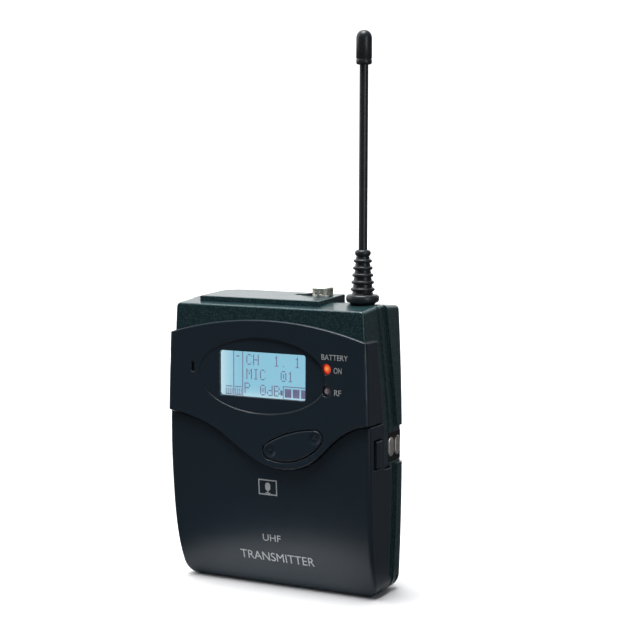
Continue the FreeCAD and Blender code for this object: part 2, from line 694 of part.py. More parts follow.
def dome_face_y():
    """Front of the keypad mat's domes."""
    return board_y - 0.1 - mat_thickness - dome_height


def make_round_key(x):
    face_y = key_face_y()
    body = rod_along(Y_AXIS, key_radius, V(x, face_y, side_key_z), dome_face_y() - 0.3 - key_travel - face_y)
    return turn_edges(body, 0.3, lambda e: in_plane(e, "Y", face_y))


def key_face_y():
    """Side keys stand just under the closed door."""
    return door_top_y + door_wall + free_gap + 0.25


def make_keypad_mat():
    mat_y = board_y - mat_thickness - 0.1
    body = block(set_key_x - 5.0, power_key_x + 2.8, mat_y, mat_y + mat_thickness, board_low_z + 0.6, 50.0)
    tilt = math.radians(rocker_tilt)
    domes = [(rocker_x + s * dome_offset * math.cos(tilt), rocker_z + s * dome_offset * math.sin(tilt))
             for s in (1, -1)]
    domes += [(set_key_x, side_key_z), (power_key_x, side_key_z)]
    for x, z in domes:
        dome = Part.makeCone(1.7, 1.3, dome_height, V(x, mat_y, z), V(0, -1, 0))
        body = body.fuse(dome)
    return body.common(shell_body(0.0, housing_wall + 0.4, 0))


# ------------------------------------------------------------------ display
def make_display_window():
    pane = rounded_rectangle(window_width - 0.16, window_height - 0.16, window_corner)
    pane.translate(V(window_x, 0, window_z))
    body = front_prism(pane, pane_front_y, housing_front_y + 0.1)
    flange = rounded_rectangle(window_width + 2.0, window_height + 2.0, window_corner)
    flange.translate(V(window_x, 0, window_z))
    return body.fuse(front_prism(flange, housing_front_y + 0.02, pane_front_y + pane_thickness + 0.35))


def make_lcd_glass():
    return block(window_x - glass_width / 2, window_x + glass_width / 2, glass_front_y,
                 glass_front_y + glass_thickness, window_z - glass_height / 2, window_z + glass_height / 2)


def make_lcd_frame():
    outer = block(window_x - glass_width / 2 - 1.0, window_x + glass_width / 2 + 1.0, glass_front_y - 0.4,
                  board_y - 0.05, window_z - glass_height / 2 - 0.9, window_z + glass_height / 2 + 0.9)
    inner = block(window_x - glass_width / 2 - 0.05, window_x + glass_width / 2 + 0.05, -FAR,
                  glass_front_y + glass_thickness + 0.05, window_z - glass_height / 2 - 0.05,
                  window_z + glass_height / 2 + 0.05)
    return outer.cut(inner)


def make_led(z):
    lens_y = front_y + led_recess
    body = rod_along(Y_AXIS, led_hole_radius - 0.15, V(led_x, lens_y, z), 3.0)
    body = turn_edges(body, 0.7, lambda e: in_plane(e, "Y", lens_y))
    return body.fuse(rod_along(Y_AXIS, led_hole_radius + 0.25, V(led_x, lens_y + 1.0, z), board_y - lens_y - 1.1))


def make_infrared_window():
    lens_y = front_y + 0.6
    slot = rounded_rectangle(infrared_width - 0.1, infrared_height - 0.1, 0.3)
    slot.translate(V(infrared_x, 0, infrared_z))
    back = block(infrared_x - 1.4, infrared_x + 1.4, housing_front_y + 0.05, housing_front_y + 1.4,
                 infrared_z - 2.1, infrared_z + 2.1)
    return front_prism(slot, lens_y, housing_front_y + 0.2).fuse(back)


# ------------------------------------------------------------------ boards and electronics
def make_main_board():
    body = block(-board_half_width, board_half_width, board_y, board_y + board_thickness,
                 board_low_z, board_top_z)
    for x, z in screw_places():
        body = body.cut(rod_along(Y_AXIS, screw_radius + 0.2, V(x, -FAR, z), 2 * FAR))
    return body


def make_rf_shield():
    y0 = board_y + board_thickness + 0.02
    y1 = y0 + shield_height
    outer = block(shield_x0, shield_x1, y0, y1, shield_z0, shield_z1)
    outer = turn_edges(outer, 0.4, lambda e: in_plane(e, "Y", y1))
    return outer.cut(block(shield_x0 + shield_sheet, shield_x1 - shield_sheet, y0 - 1, y1 - shield_sheet,
                           shield_z0 + shield_sheet, shield_z1 - shield_sheet))


def make_board_parts():
    """Tall parts on the back of the board: inductors, capacitors and a crystal."""
    y0 = board_y + board_thickness + 0.02
    pieces = [block(x0, x1, y0, y0 + height, z0, z1) for x0, x1, z0, z1, height in board_blocks]
    for x in board_can_x:
        pieces.append(rod_along(Y_AXIS, board_can_radius, V(x, y0, board_can_z), board_can_height))
    return Part.makeCompound(pieces)


# ------------------------------------------------------------------ battery bay
def make_inner_chassis():
    wall = bay_side_x + bay_wall
    outer = block(-wall, wall, -FAR, bay_back_y + bay_wall, 1.6, bay_roof_z + bay_wall)
    inner = block(-bay_side_x, bay_side_x, -FAR, bay_back_y, -5, bay_roof_z)
    body = outer.cut(inner)
    body = body.common(door_body(recessed_front_gap))
    body = body.common(shell_body(back_grow, housing_wall + 0.15, 1.55))
    floor_piece = block(-wall, wall, hinge_y + hinge_ear_radius + free_gap + 0.3, bay_back_y + bay_wall, 1.6, 2.5)
    body = body.fuse(floor_piece.common(shell_body(back_grow, housing_wall + 0.15, 1.55)))
    # cradles between the two cells
    for x in (-cradle_x, cradle_x):
        web = block(x - cradle_half, x + cradle_half, cell_y, bay_back_y + 0.5, 2.5, bay_roof_z + 0.5)
        body = body.fuse(web)
    for z in (cell_low_z, cell_top_z):
        body = body.cut(rod_along(X_AXIS, cell_radius + 0.15, V(-bay_side_x, cell_y, z), 2 * bay_side_x))
    for s in (1, -1):
        bore = rod_along(X_AXIS, hinge_pin_radius, V(s * bay_side_x - 2, hinge_y, hinge_z), 4)
        boss_start = bay_side_x if s > 0 else -wall
        boss = rod_along(X_AXIS, hinge_boss_radius, V(boss_start, hinge_y, hinge_z), bay_wall)
        boss = boss.common(door_body(recessed_front_gap - 0.2))
        body = body.fuse(boss).cut(bore)
    clear = block(clip_leg_x - 2.0, FAR, clip_y - 2.2, FAR, -5, clip_z + 3.6)
    body = body.cut(clear).cut(mirrored(clear))
    return body.removeSplitter()


def make_cell(z, positive):
    """AA cell lying along X; positive is the side of its button."""
    x0 = -cell_length / 2 + (button_height if positive < 0 else 0.0)
    can = rod_along(X_AXIS, cell_radius, V(x0, cell_y, z), cell_length - button_height)
    can = turn_edges(can, 0.8, lambda e: e.Length > 30 and e.BoundBox.XLength < 0.01)
    button_x = cell_length / 2 - button_height - 0.2 if positive > 0 else -cell_length / 2
    button = rod_along(X_AXIS, button_radius, V(button_x, cell_y, z), button_height + 0.2)
    return can.fuse(button)


def cell_poles():
    """Sides of the springs: the upper cell's can is on the left, the lower cell's on the right."""
    return ((cell_top_z, -1), (cell_low_z, 1))


def make_contact_plates():
    pieces = []
    for s in (1, -1):
        x0 = s * (bay_side_x - 0.05)
        x1 = s * (bay_side_x - 0.05 - contact_sheet)
        for z in (cell_low_z, cell_top_z):
            pieces.append(block(min(x0, x1), max(x0, x1), cell_y - contact_plate_half_y,
                                cell_y + contact_plate_half_y, z - contact_plate_half_z,
                                z + contact_plate_half_z))
    return Part.makeCompound(pieces)


def make_contact_springs():
    """Conical-looking stack of rings that presses on each can's flat end."""
    pieces = []
    reach = bay_side_x - 0.4 - cell_length / 2
    turns = 3
    for z, s in cell_poles():
        for i in range(turns):
            radius = spring_radius - 0.45 * i
            x = s * (bay_side_x - 0.42 - spring_wire - i * (reach - 2 * spring_wire - 0.06) / (turns - 1))
            pieces.append(Part.makeTorus(radius, spring_wire, V(x, cell_y, z), X_AXIS))
    return Part.makeCompound(pieces)


# ------------------------------------------------------------------ charging contacts
def make_contact_insert():
    x_face = half_at(42.0, 0.0) - 0.15
    body = block(half_width - 3.1, x_face, insert_y0 + seat_gap, insert_y1, insert_z0 + seat_gap,
                 insert_z1 - seat_gap)
    for y in contact_y:
        body = body.cut(pill(y, half_width - 4.0, 0.05, 5.0))
    return body


def pill(y, x0, grow, length):
    """Upright pill-shaped bar along X."""
    w = contact_width / 2 + grow
    h = contact_height / 2 + grow - w
    z = (insert_z0 + insert_z1) / 2
    body = block(x0, x0 + length, y - w, y + w, z - h, z + h)
    for s in (1, -1):
        body = body.fuse(rod_along(X_AXIS, w, V(x0, y, z + s * h), length))
    return body


def make_charge_contacts():
    x_face = half_at(42.0, 0.0) + 0.3
    pieces = []
    for y in contact_y:
        bar = pill(y, half_width - 3.15, 0.0, x_face - half_width + 3.15).removeSplitter()
        bar = turn_edges(bar, 0.3, lambda e: in_plane(e, "X", x_face))
        pieces.append(bar)
        pieces.append(mirrored(bar))
    return Part.makeCompound(pieces)


# ------------------------------------------------------------------ top: plate, socket, mute switch
def make_connector_plate():
    foot = plate_face()
    foot.translate(V(0, 0, body_height - 2.5))
    body = foot.extrude(V(0, 0, 8))
    z0 = top_front_z + plate_height + 0.35
    z1 = z0 + plate_rise
    top = side_polygon([(plate_y0 - 3, 60), (plate_y0 - 3, z0 - 0.15), (plate_y1 + 3, z1 + 0.15),
                        (plate_y1 + 3, 60)], -FAR, FAR)
    body = body.common(top)
    body = turn_edges(body, 0.3, lambda e: e.BoundBox.ZMin > top_front_z + 1.2)
    body = body.cut(rod_along(Z_AXIS, socket_ring_radius + 0.05, V(socket_x, socket_y, 60), 40))
    slot_x = socket_x - mute_offset
    body = body.cut(block(slot_x - mute_length / 2 - mute_travel - 0.2, slot_x + mute_length / 2 + 0.2,
                          socket_y - mute_width / 2 - 0.2, socket_y + mute_width / 2 + 0.2, 60, 100))
    return body


def plate_level():
    """Height of the connector plate's top at the socket."""
    z0 = top_front_z + plate_height + 0.2
    share = (socket_y - plate_y0 + 3) / (plate_y1 - plate_y0 + 6)
    return z0 + share * (plate_rise + 0.3)


def make_socket_ring():
    top_z = plate_level() + socket_ring_height
    body = rod_along(Z_AXIS, socket_ring_radius, V(socket_x, socket_y, body_height - 3.5), top_z - body_height + 3.5)
    body = body.makeChamfer(0.4, [e for e in body.Edges if in_plane(e, "Z", top_z)])
    body = body.cut(rod_along(Z_AXIS, socket_bore_radius, V(socket_x, socket_y, 60), 60))
    # wrench slots round the rim
    for i in range(8):
        slot = block(socket_ring_radius - 0.35, socket_ring_radius + 1, -0.35, 0.35, plate_level() + 0.7, top_z + 1)
        slot.rotate(V(0, 0, 0), Z_AXIS, 22.5 + i * 45)
        slot.translate(V(socket_x, socket_y, 0))
        body = body.cut(slot)
    return body


def make_socket_body():
    top_z = body_height - 3.6
    body = rod_along(Z_AXIS, socket_body_radius, V(socket_x, socket_y, top_z - socket_depth), socket_depth)
    return body.cut(rod_along(Z_AXIS, socket_bore_radius, V(socket_x, socket_y, top_z - socket_depth + 1.2), 30))


def make_mute_slider():
    x = socket_x - mute_offset
    top_z = plate_level() + mute_proud
    body = block(x - mute_length / 2, x + mute_length / 2, socket_y - mute_width / 2, socket_y + mute_width / 2,
                 body_height - 3.4, top_z)
    for i in range(-1, 2):
        body = body.cut(block(x + i * 0.9 - 0.15, x + i * 0.9 + 0.15, -FAR, FAR, top_z - 0.25, top_z + 1))
    return body


def make_mute_switch():
    right_x = socket_x - socket_body_radius - free_gap
    return block(right_x - mute_switch_length, right_x, socket_y - 2.2, socket_y + 2.2,
                 body_height - 7.2, body_height - 3.75)


# ------------------------------------------------------------------ antenna
def make_antenna_socket():
    """Threaded bush that clamps the antenna in the top wall."""
    body = rod_along(Z_AXIS, 2.0, V(antenna_x, antenna_y, body_height - 7.0), 7.3)
    nut = rod_along(Z_AXIS, 3.4, V(antenna_x, antenna_y, body_height - 4.6), 1.8)
    body = body.fuse(nut)
    return body.cut(rod_along(Z_AXIS, rod_radius, V(antenna_x, antenna_y, body_height - 5.0), 20))


def make_antenna_rod():
    z0 = body_height - 5.0
    return rod_along(Z_AXIS, rod_radius, V(antenna_x, antenna_y, z0), rod_top_z - z0)


def make_antenna_boot():
    """Ribbed rubber boot, turned about the rod."""
    base_z = body_height + 0.35
    flange_z = base_z + boot_flange_height
    pitch = (boot_top_z - flange_z) / (boot_ribs + 0.4)

    def core(z):
        share = (z - flange_z) / (boot_top_z - flange_z)
        return boot_low_radius + share * (boot_top_radius - boot_low_radius)

    points = [(rod_radius, base_z), (boot_flange_radius - 0.7, base_z), (boot_flange_radius - 0.5, base_z + 0.5),
              (boot_flange_radius, base_z + 0.8), (boot_flange_radius, flange_z - 0.6),
              (boot_flange_radius - 0.5, flange_z - 0.1), (core(flange_z), flange_z)]
    for i in range(boot_ribs):
        low = flange_z + pitch * (i + 0.42)
        high = low + pitch * 0.5
        rib = core(low) + 0.72 - 0.04 * i
        points += [(core(low), low), (rib, low + 0.25), (rib, high - 0.25), (core(high), high)]
    points += [(core(boot_top_z - 1.6), boot_top_z - 1.6), (2.5, boot_top_z - 1.3), (2.5, boot_top_z - 0.2),
               (2.3, boot_top_z), (rod_radius, boot_top_z)]
    face = polygon([V(r, 0, z) for r, z in points])
    body = face.revolve(V(0, 0, 0), Z_AXIS, 360)
    body.translate(V(antenna_x, antenna_y, 0))
    return body


def make_antenna_tip():
    body = rod_along(Z_AXIS, tip_radius, V(antenna_x, antenna_y, tip_low_z), tip_top_z - tip_low_z)
    body = turn_edges(body, 0.35, lambda e: in_plane(e, "Z", tip_low_z))
    body = turn_edges(body, 1.7, lambda e: in_plane(e, "Z", tip_top_z))
    return body.cut(rod_along(Z_AXIS, rod_radius, V(antenna_x, antenna_y, 100), rod_top_z - 100))


# ------------------------------------------------------------------ back
def make_belt_clip():
    half = clip_route()
    other = [V(-p.x, p.y, p.z) for p in reversed(half[:-1])]
    return tube(half[:-1] + other, clip_wire_radius, clip_bend)


def make_rear_label():
    lean = back_lean / body_height
    body = block(-19.0, 19.0, 0.0, 0.12, 0.0, 26.0)
    body.rotate(V(0, 0, 0), X_AXIS, math.degrees(math.atan(lean)))
    body.translate(V(0, back_y - lean * 24.0 + 0.005, 24.0))
    return body


def make_screws():
    pieces = []
    for x, z in screw_places():
        head_y = back_y - 3.1
        body = rod_along(Y_AXIS, screw_head_radius, V(x, head_y, z), 1.2)
        body = body.fuse(rod_along(Y_AXIS, screw_radius, V(x, parting_y(z) - 3.5, z), head_y - parting_y(z) + 3.6))
        for turn in (0, 90):
            slot = block(-1.0, 1.0, head_y + 0.6, head_y + 2, -0.2, 0.2)
            slot.rotate(V(0, 0, 0), Y_AXIS, turn)
            slot.translate(V(x, 0, z))
            body = body.cut(slot)
        pieces.append(body)
    return Part.makeCompound(pieces)


# ------------------------------------------------------------------ build
def main():
    os.makedirs("parts", exist_ok=True)
    catch = make_catch()
    insert = make_contact_insert()
    nodes = {
        "front_housing": make_front_housing(),
        "back_housing": make_back_housing(),
        "front_panel": make_front_panel(),
        "inner_chassis": make_inner_chassis(),
        "battery_door": make_battery_door(),
        "door_hinge_pins": both_sides(make_hinge_pin()),
        "door_pad": make_door_pad(),
        "right_catch": catch,
        "left_catch": mirrored(catch),
        "rocker_key": make_rocker_key(),
        "set_key": make_round_key(set_key_x),
        "power_key": make_round_key(power_key_x),
        "keypad_mat": make_keypad_mat(),
        "display_window": make_display_window(),
        "lcd_glass": make_lcd_glass(),
        "lcd_frame": make_lcd_frame(),
        "status_led": make_led(led_upper_z),
        "rf_led": make_led(led_lower_z),
        "infrared_window": make_infrared_window(),
        "main_board": make_main_board(),
        "rf_shield": make_rf_shield(),
        "board_parts": make_board_parts(),
        "upper_cell": make_cell(cell_top_z, 1),
        "lower_cell": make_cell(cell_low_z, -1),
        "contact_plates": make_contact_plates(),
        "contact_springs": make_contact_springs(),
        "contact_inserts": both_sides(insert),
        "charge_contacts": make_charge_contacts(),
        "connector_plate": make_connector_plate(),
        "audio_socket_ring": make_socket_ring(),
        "audio_socket_body": make_socket_body(),
        "mute_slider": make_mute_slider(),
        "mute_switch": make_mute_switch(),
        "antenna_socket": make_antenna_socket(),
        "antenna_rod": make_antenna_rod(),
        "antenna_boot": make_antenna_boot(),
        "antenna_tip": make_antenna_tip(),
        "belt_clip": make_belt_clip(),
        "rear_label": make_rear_label(),
        "housing_screws": make_screws(),
    }
    for name, shape in nodes.items():
        box = shape.BoundBox
        print("%-20s solids %d valid %s  x %.1f %.1f  y %.1f %.1f  z %.1f %.1f" % (
            name, len(shape.Solids), shape.isValid(), box.XMin, box.XMax, box.YMin, box.YMax,
            box.ZMin, box.ZMax))
        shape.exportStep("parts/%s.step" % name)


main()
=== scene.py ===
# %% [markdown]
# This lesson dresses a wireless bodypack transmitter: a flat radio box that is worn on a belt.
# The shapes that move or fit come ready made as named pieces, and they stay exactly where they are.
# Blender adds what the eye looks for: lacquer, moulded grain, lamps, a lit display and printed marks.
# All sizes are in metres, so MM turns the maker's millimetres into scene units.

# %% Load the frame
import json
import math

import bpy
from mathutils import Matrix, Vector

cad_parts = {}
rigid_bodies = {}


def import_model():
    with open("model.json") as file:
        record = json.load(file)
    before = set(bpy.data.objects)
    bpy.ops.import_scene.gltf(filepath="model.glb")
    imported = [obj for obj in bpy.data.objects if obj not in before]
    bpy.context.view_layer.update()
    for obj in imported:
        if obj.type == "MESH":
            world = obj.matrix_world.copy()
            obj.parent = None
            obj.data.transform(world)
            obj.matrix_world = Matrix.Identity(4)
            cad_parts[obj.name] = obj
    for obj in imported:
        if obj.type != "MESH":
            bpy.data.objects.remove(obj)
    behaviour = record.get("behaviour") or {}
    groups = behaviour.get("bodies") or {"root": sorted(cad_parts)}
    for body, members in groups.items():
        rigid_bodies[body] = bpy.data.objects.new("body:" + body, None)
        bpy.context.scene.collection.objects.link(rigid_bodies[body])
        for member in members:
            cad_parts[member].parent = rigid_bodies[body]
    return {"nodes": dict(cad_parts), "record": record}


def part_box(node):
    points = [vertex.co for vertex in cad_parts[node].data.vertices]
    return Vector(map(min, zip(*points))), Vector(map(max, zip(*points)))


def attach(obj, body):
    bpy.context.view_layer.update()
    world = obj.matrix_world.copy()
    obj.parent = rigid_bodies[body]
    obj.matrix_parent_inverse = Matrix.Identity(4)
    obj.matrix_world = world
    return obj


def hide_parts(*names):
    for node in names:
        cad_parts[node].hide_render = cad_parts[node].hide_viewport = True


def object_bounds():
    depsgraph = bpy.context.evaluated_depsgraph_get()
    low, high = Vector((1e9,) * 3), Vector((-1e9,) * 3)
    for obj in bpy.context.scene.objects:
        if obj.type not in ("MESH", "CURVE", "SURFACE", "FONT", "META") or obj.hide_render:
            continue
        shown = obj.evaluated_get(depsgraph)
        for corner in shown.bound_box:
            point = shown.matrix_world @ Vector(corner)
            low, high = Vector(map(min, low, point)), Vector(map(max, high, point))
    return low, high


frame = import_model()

MM = 0.001
nodes = frame["nodes"]
cad_low, cad_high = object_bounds()
print("box in mm:", [round(v / MM, 1) for v in (*cad_low, *cad_high)])

# %% [markdown]
# The camera stands a little above the box and to its right, and looks slightly down.
# Its place is given as a point, a turn about the vertical, a downward tilt and a very small roll.
# A long lens keeps the sides nearly parallel.

# %% Camera
eye = Vector((223.3, -399.65, 121.86)) * MM
turn, tilt_down, roll = math.radians(28.222), math.radians(5.423), math.radians(0.174)
camera_data = bpy.data.cameras.new("camera")
camera_data.lens = 92.98
camera_data.sensor_width = 36.0
camera_data.clip_start = 0.01
camera_data.clip_end = 50.0
camera = bpy.data.objects.new("camera", camera_data)
bpy.context.scene.collection.objects.link(camera)
camera.matrix_world = (
    Matrix.Translation(eye)
    @ Matrix.Rotation(turn, 4, "Z")
    @ Matrix.Rotation(math.radians(90) - tilt_down, 4, "X")
    @ Matrix.Rotation(roll, 4, "Z")
)
bpy.context.scene.camera = camera
print("camera looks along", [round(v, 3) for v in camera.matrix_world.to_3x3() @ Vector((0, 0, -1))])

# %% [markdown]
# The box stands on a plain pale floor, in front of an empty pale background.
# Dark satin plastic shows mostly what it reflects, so the light is a matter of what stands around the box.
# A small bright table lies under it, a large white wall stands behind it on the left, and the rest is dark.
# That keeps the front and the right side deep, and gives the top and the curled lower edge their sheen.
# The eye of the camera should still see an even, pale set, so both the floor and the world ask
# the Light Path node who is looking: the camera gets the plain set, and reflections get the dark studio.

# %% Floor, world and lamps
BRIGHT_TABLE = 0.019       # metres from the box to where the bright table starts to fade
TABLE_END = 0.046
WALL_DIRECTION = Vector((-0.72, 0.60, 0.36)).normalized()


def by_viewer(tree, seen_by_camera, seen_by_rest):
    """Mixes two colours: one for the camera, and one for light and reflections."""
    looking = tree.nodes.new("ShaderNodeLightPath")
    mix = tree.nodes.new("ShaderNodeMix")
    mix.data_type = "RGBA"
    tree.links.new(looking.outputs["Is Camera Ray"], mix.inputs["Factor"])
    mix.inputs[7].default_value = seen_by_camera
    tree.links.new(seen_by_rest, mix.inputs[6])
    return mix.outputs[2]


def add_floor():
    bpy.ops.mesh.primitive_plane_add(size=12.0, location=(0, 0, cad_low.z))
    floor = bpy.context.object
    floor.name = "floor"
    paint = bpy.data.materials.new("pale floor")
    paint.use_nodes = True
    tree = paint.node_tree
    shader = tree.nodes["Principled BSDF"]
    place = tree.nodes.new("ShaderNodeTexCoord")
    away = tree.nodes.new("ShaderNodeVectorMath")
    away.operation = "LENGTH"
    ramp = tree.nodes.new("ShaderNodeValToRGB")
    ramp.color_ramp.interpolation = "EASE"
    ramp.color_ramp.elements[0].position = BRIGHT_TABLE
    ramp.color_ramp.elements[0].color = (0.86, 0.86, 0.87, 1)
    ramp.color_ramp.elements[1].position = TABLE_END
    ramp.color_ramp.elements[1].color = (0.03, 0.03, 0.035, 1)
    tree.links.new(place.outputs["Object"], away.inputs[0])
    tree.links.new(away.outputs["Value"], ramp.inputs["Fac"])
    colour = by_viewer(tree, (0.86, 0.86, 0.87, 1), ramp.outputs["Color"])
    tree.links.new(colour, shader.inputs["Base Color"])
    shader.inputs["Roughness"].default_value = 0.6
    shader.inputs["Specular IOR Level"].default_value = 0.2
    floor.data.materials.append(paint)
    return floor


def add_world():
    world = bpy.data.worlds.new("studio")
    bpy.context.scene.world = world
    world.use_nodes = True
    tree = world.node_tree
    background = tree.nodes["Background"]
    direction = tree.nodes.new("ShaderNodeTexCoord")
    facing = tree.nodes.new("ShaderNodeVectorMath")
    facing.operation = "DOT_PRODUCT"
    facing.inputs[1].default_value = WALL_DIRECTION
    ramp = tree.nodes.new("ShaderNodeValToRGB")
    ramp.color_ramp.elements[0].position = 0.30
    ramp.color_ramp.elements[0].color = (0.020, 0.023, 0.028, 1)
    ramp.color_ramp.elements[1].position = 0.75
    ramp.color_ramp.elements[1].color = (1.0, 1.0, 1.0, 1)
    tree.links.new(direction.outputs["Generated"], facing.inputs[0])
    tree.links.new(facing.outputs["Value"], ramp.inputs["Fac"])
    tree.links.new(by_viewer(tree, (1, 1, 1, 1), ramp.outputs["Color"]), background.inputs["Color"])
    background.inputs["Strength"].default_value = 1.3
    return world


def add_lamp(name, kind, power, place, toward):
    lamp = bpy.data.lights.new(name, kind)
    lamp.energy = power
    holder = bpy.data.objects.new(name, lamp)
    bpy.context.scene.collection.objects.link(holder)
    holder.location = place
    holder.rotation_euler = toward.to_track_quat("-Z", "Y").to_euler()
    return lamp


def add_sun(name, toward, strength, spread):
    add_lamp(name, "SUN", strength, (0, 0, 0), Vector(toward)).angle = math.radians(spread)


def add_softbox(name, place, aim, size, power):
    lamp = add_lamp(name, "AREA", power, place, Vector(aim) - Vector(place))
    lamp.shape = "RECTANGLE"
    lamp.size, lamp.size_y = size


middle = Vector((0, 0, 0.045))
add_floor()
add_world()
add_sun("overhead light", (0.10, 0.12, -1.0), 4.4, 40)
add_softbox("left strip", (-0.60, -0.25, 0.30), middle, (0.08, 0.6), 0.25)
add_softbox("right panel", (0.62, -0.34, 0.10), middle, (0.22, 0.5), 1.1)
bpy.context.scene.view_settings.view_transform = "Standard"

# %% [markdown]
# Every finish below is a tree of shader nodes, and many of them need the same small effects.
# Two helpers keep that short: put() adds one node with its inputs, and new_group() starts a shared group.
# A group hands back only colours, masks and normals, so each material keeps its own shader.

# %% Helpers for shader trees
def put(tree, kind, inputs=None, **settings):
    node = tree.nodes.new(kind)
    for setting, value in settings.items():
        setattr(node, setting, value)
    for socket, value in (inputs or {}).items():
        if isinstance(value, bpy.types.NodeSocket):
            tree.links.new(value, node.inputs[socket])
        else:
            node.inputs[socket].default_value = value
    return node


def new_group(name, takes, gives):
    group = bpy.data.node_groups.new(name, "ShaderNodeTree")
    for label, (kind, value) in takes.items():
        socket = group.interface.new_socket(label, in_out="INPUT", socket_type="NodeSocket" + kind)
        if value is not None:
            socket.default_value = value
    for label, kind in gives.items():
        group.interface.new_socket(label, in_out="OUTPUT", socket_type="NodeSocket" + kind)
    return group, put(group, "NodeGroupInput").outputs, put(group, "NodeGroupOutput").inputs


def wire(shader, socket, value):
    shader.id_data.links.new(value, shader.inputs[socket])


def bump(tree, height, distance, strength, **normal):
    inputs = {"Height": height, "Distance": distance, "Strength": strength, **normal}
    return put(tree, "ShaderNodeBump", inputs).outputs["Normal"]


def noise(tree, place, scale, detail=2.0):
    inputs = {"Vector": place, "Scale": scale, "Detail": detail}
    return put(tree, "ShaderNodeTexNoise", inputs).outputs["Fac"]


def math_node(tree, operation, first, second=0.5, third=0.5):
    return put(tree, "ShaderNodeMath", {0: first, 1: second, 2: third}, operation=operation).outputs[0]


def stretch(tree, value, low, high, out_low=0.0, out_high=1.0):
    """Rescales a value from low..high to out_low..out_high, and keeps it inside."""
    inputs = {"Value": value, "From Min": low, "From Max": high, "To Min": out_low, "To Max": out_high}
    return put(tree, "ShaderNodeMapRange", inputs).outputs["Result"]


def mix_colour(tree, share, first, second):
    return put(tree, "ShaderNodeMix", {0: share, 6: first, 7: second}, data_type="RGBA").outputs[2]


# %% [markdown]
# No moulded edge is truly sharp: the tool that cut the mould had a small radius.
# The real rounding could be modelled on each edge, but the carried-over pieces must keep their mesh.
# So the Bevel node bends the normal near an edge, and the edge catches a thin line of light.
# Where the bent normal leaves the true one, the group also gives a mask for polish and wear.

# %% Group: soft edge
soft_edge, takes, gives = new_group(
    "soft edge",
    {"Radius": ("Float", 0.3 * MM)},
    {"Normal": "Vector", "Edge": "Float"},
)
rounded = put(soft_edge, "ShaderNodeBevel", {"Radius": takes["Radius"]}, samples=4)
true_normal = put(soft_edge, "ShaderNodeNewGeometry").outputs["Normal"]
normals = {0: rounded.outputs[0], 1: true_normal}
agree = put(soft_edge, "ShaderNodeVectorMath", normals, operation="DOT_PRODUCT")
soft_edge.links.new(rounded.outputs[0], gives["Normal"])
soft_edge.links.new(stretch(soft_edge, agree.outputs["Value"], 0.995, 0.85), gives["Edge"])
print("soft edge gives", [s.name for s in gives if s.name])

# %% [markdown]
# Satin plastic gets its look from the mould, which is etched to a fine, even grain.
# A noise at the grain's size makes the hills, and a Bump node turns them into normals.
# The same noise comes out as a mask, because the valleys are a little duller than the hilltops.

# %% Group: moulded grain
moulded_grain, takes, gives = new_group(
    "moulded grain",
    {
        "Vector": ("Vector", None),
        "Grain size": ("Float", 0.25 * MM),
        "Height": ("Float", 0.01 * MM),
        "Strength": ("Float", 0.5),
        "Normal": ("Vector", None),
    },
    {"Normal": "Vector", "Mask": "Float"},
)
per_metre = math_node(moulded_grain, "DIVIDE", 1.0, takes["Grain size"])
hills = noise(moulded_grain, takes["Vector"], per_metre)
relief = bump(moulded_grain, hills, takes["Height"], takes["Strength"], Normal=takes["Normal"])
moulded_grain.links.new(relief, gives["Normal"])
moulded_grain.links.new(stretch(moulded_grain, hills, 0.35, 0.65), gives["Mask"])

# %% [markdown]
# The shells carry a dark lacquer with metal flakes in it.
# A Voronoi pattern splits the surface into cells the size of a flake, each with its own random shade.
# Only the few brightest cells count as flakes, so the lacquer glitters instead of looking like sand.

# %% Group: metal flake
metal_flake, takes, gives = new_group(
    "metal flake",
    {
        "Vector": ("Vector", None),
        "Flake size": ("Float", 0.22 * MM),
        "Lacquer": ("Color", (0.01, 0.03, 0.03, 1)),
        "Flake": ("Color", (0.1, 0.2, 0.2, 1)),
    },
    {"Color": "Color", "Mask": "Float"},
)
per_metre = math_node(metal_flake, "DIVIDE", 1.0, takes["Flake size"])
cells = put(metal_flake, "ShaderNodeTexVoronoi", {"Vector": takes["Vector"], "Scale": per_metre})
shade = put(metal_flake, "ShaderNodeSeparateColor", {0: cells.outputs["Color"]}).outputs[0]
flake_mask = stretch(metal_flake, shade, 0.55, 1.0)
coat = mix_colour(metal_flake, flake_mask, takes["Lacquer"], takes["Flake"])
metal_flake.links.new(coat, gives["Color"])
metal_flake.links.new(flake_mask, gives["Mask"])

# %% [markdown]
# Hands leave faint marks on a thing that is worn on a belt: some patches are shinier than others.
# A slow noise, about a fingertip across, moves the roughness a little up and down.

# %% Group: handling
handling, takes, gives = new_group(
    "handling",
    {
        "Vector": ("Vector", None),
        "Patch size": ("Float", 12 * MM),
        "Smooth": ("Float", 0.3),
        "Dull": ("Float", 0.45),
    },
    {"Roughness": "Float"},
)
per_metre = math_node(handling, "DIVIDE", 1.0, takes["Patch size"])
patches = noise(handling, takes["Vector"], per_metre)
handling.links.new(stretch(handling, patches, 0.15, 0.85, takes["Smooth"], takes["Dull"]), gives["Roughness"])

# %% [markdown]
# Turned and drawn metal keeps fine lines from the tool.
# A Wave texture along one axis gives evenly spaced lines, and its distortion keeps them from looking ruled.

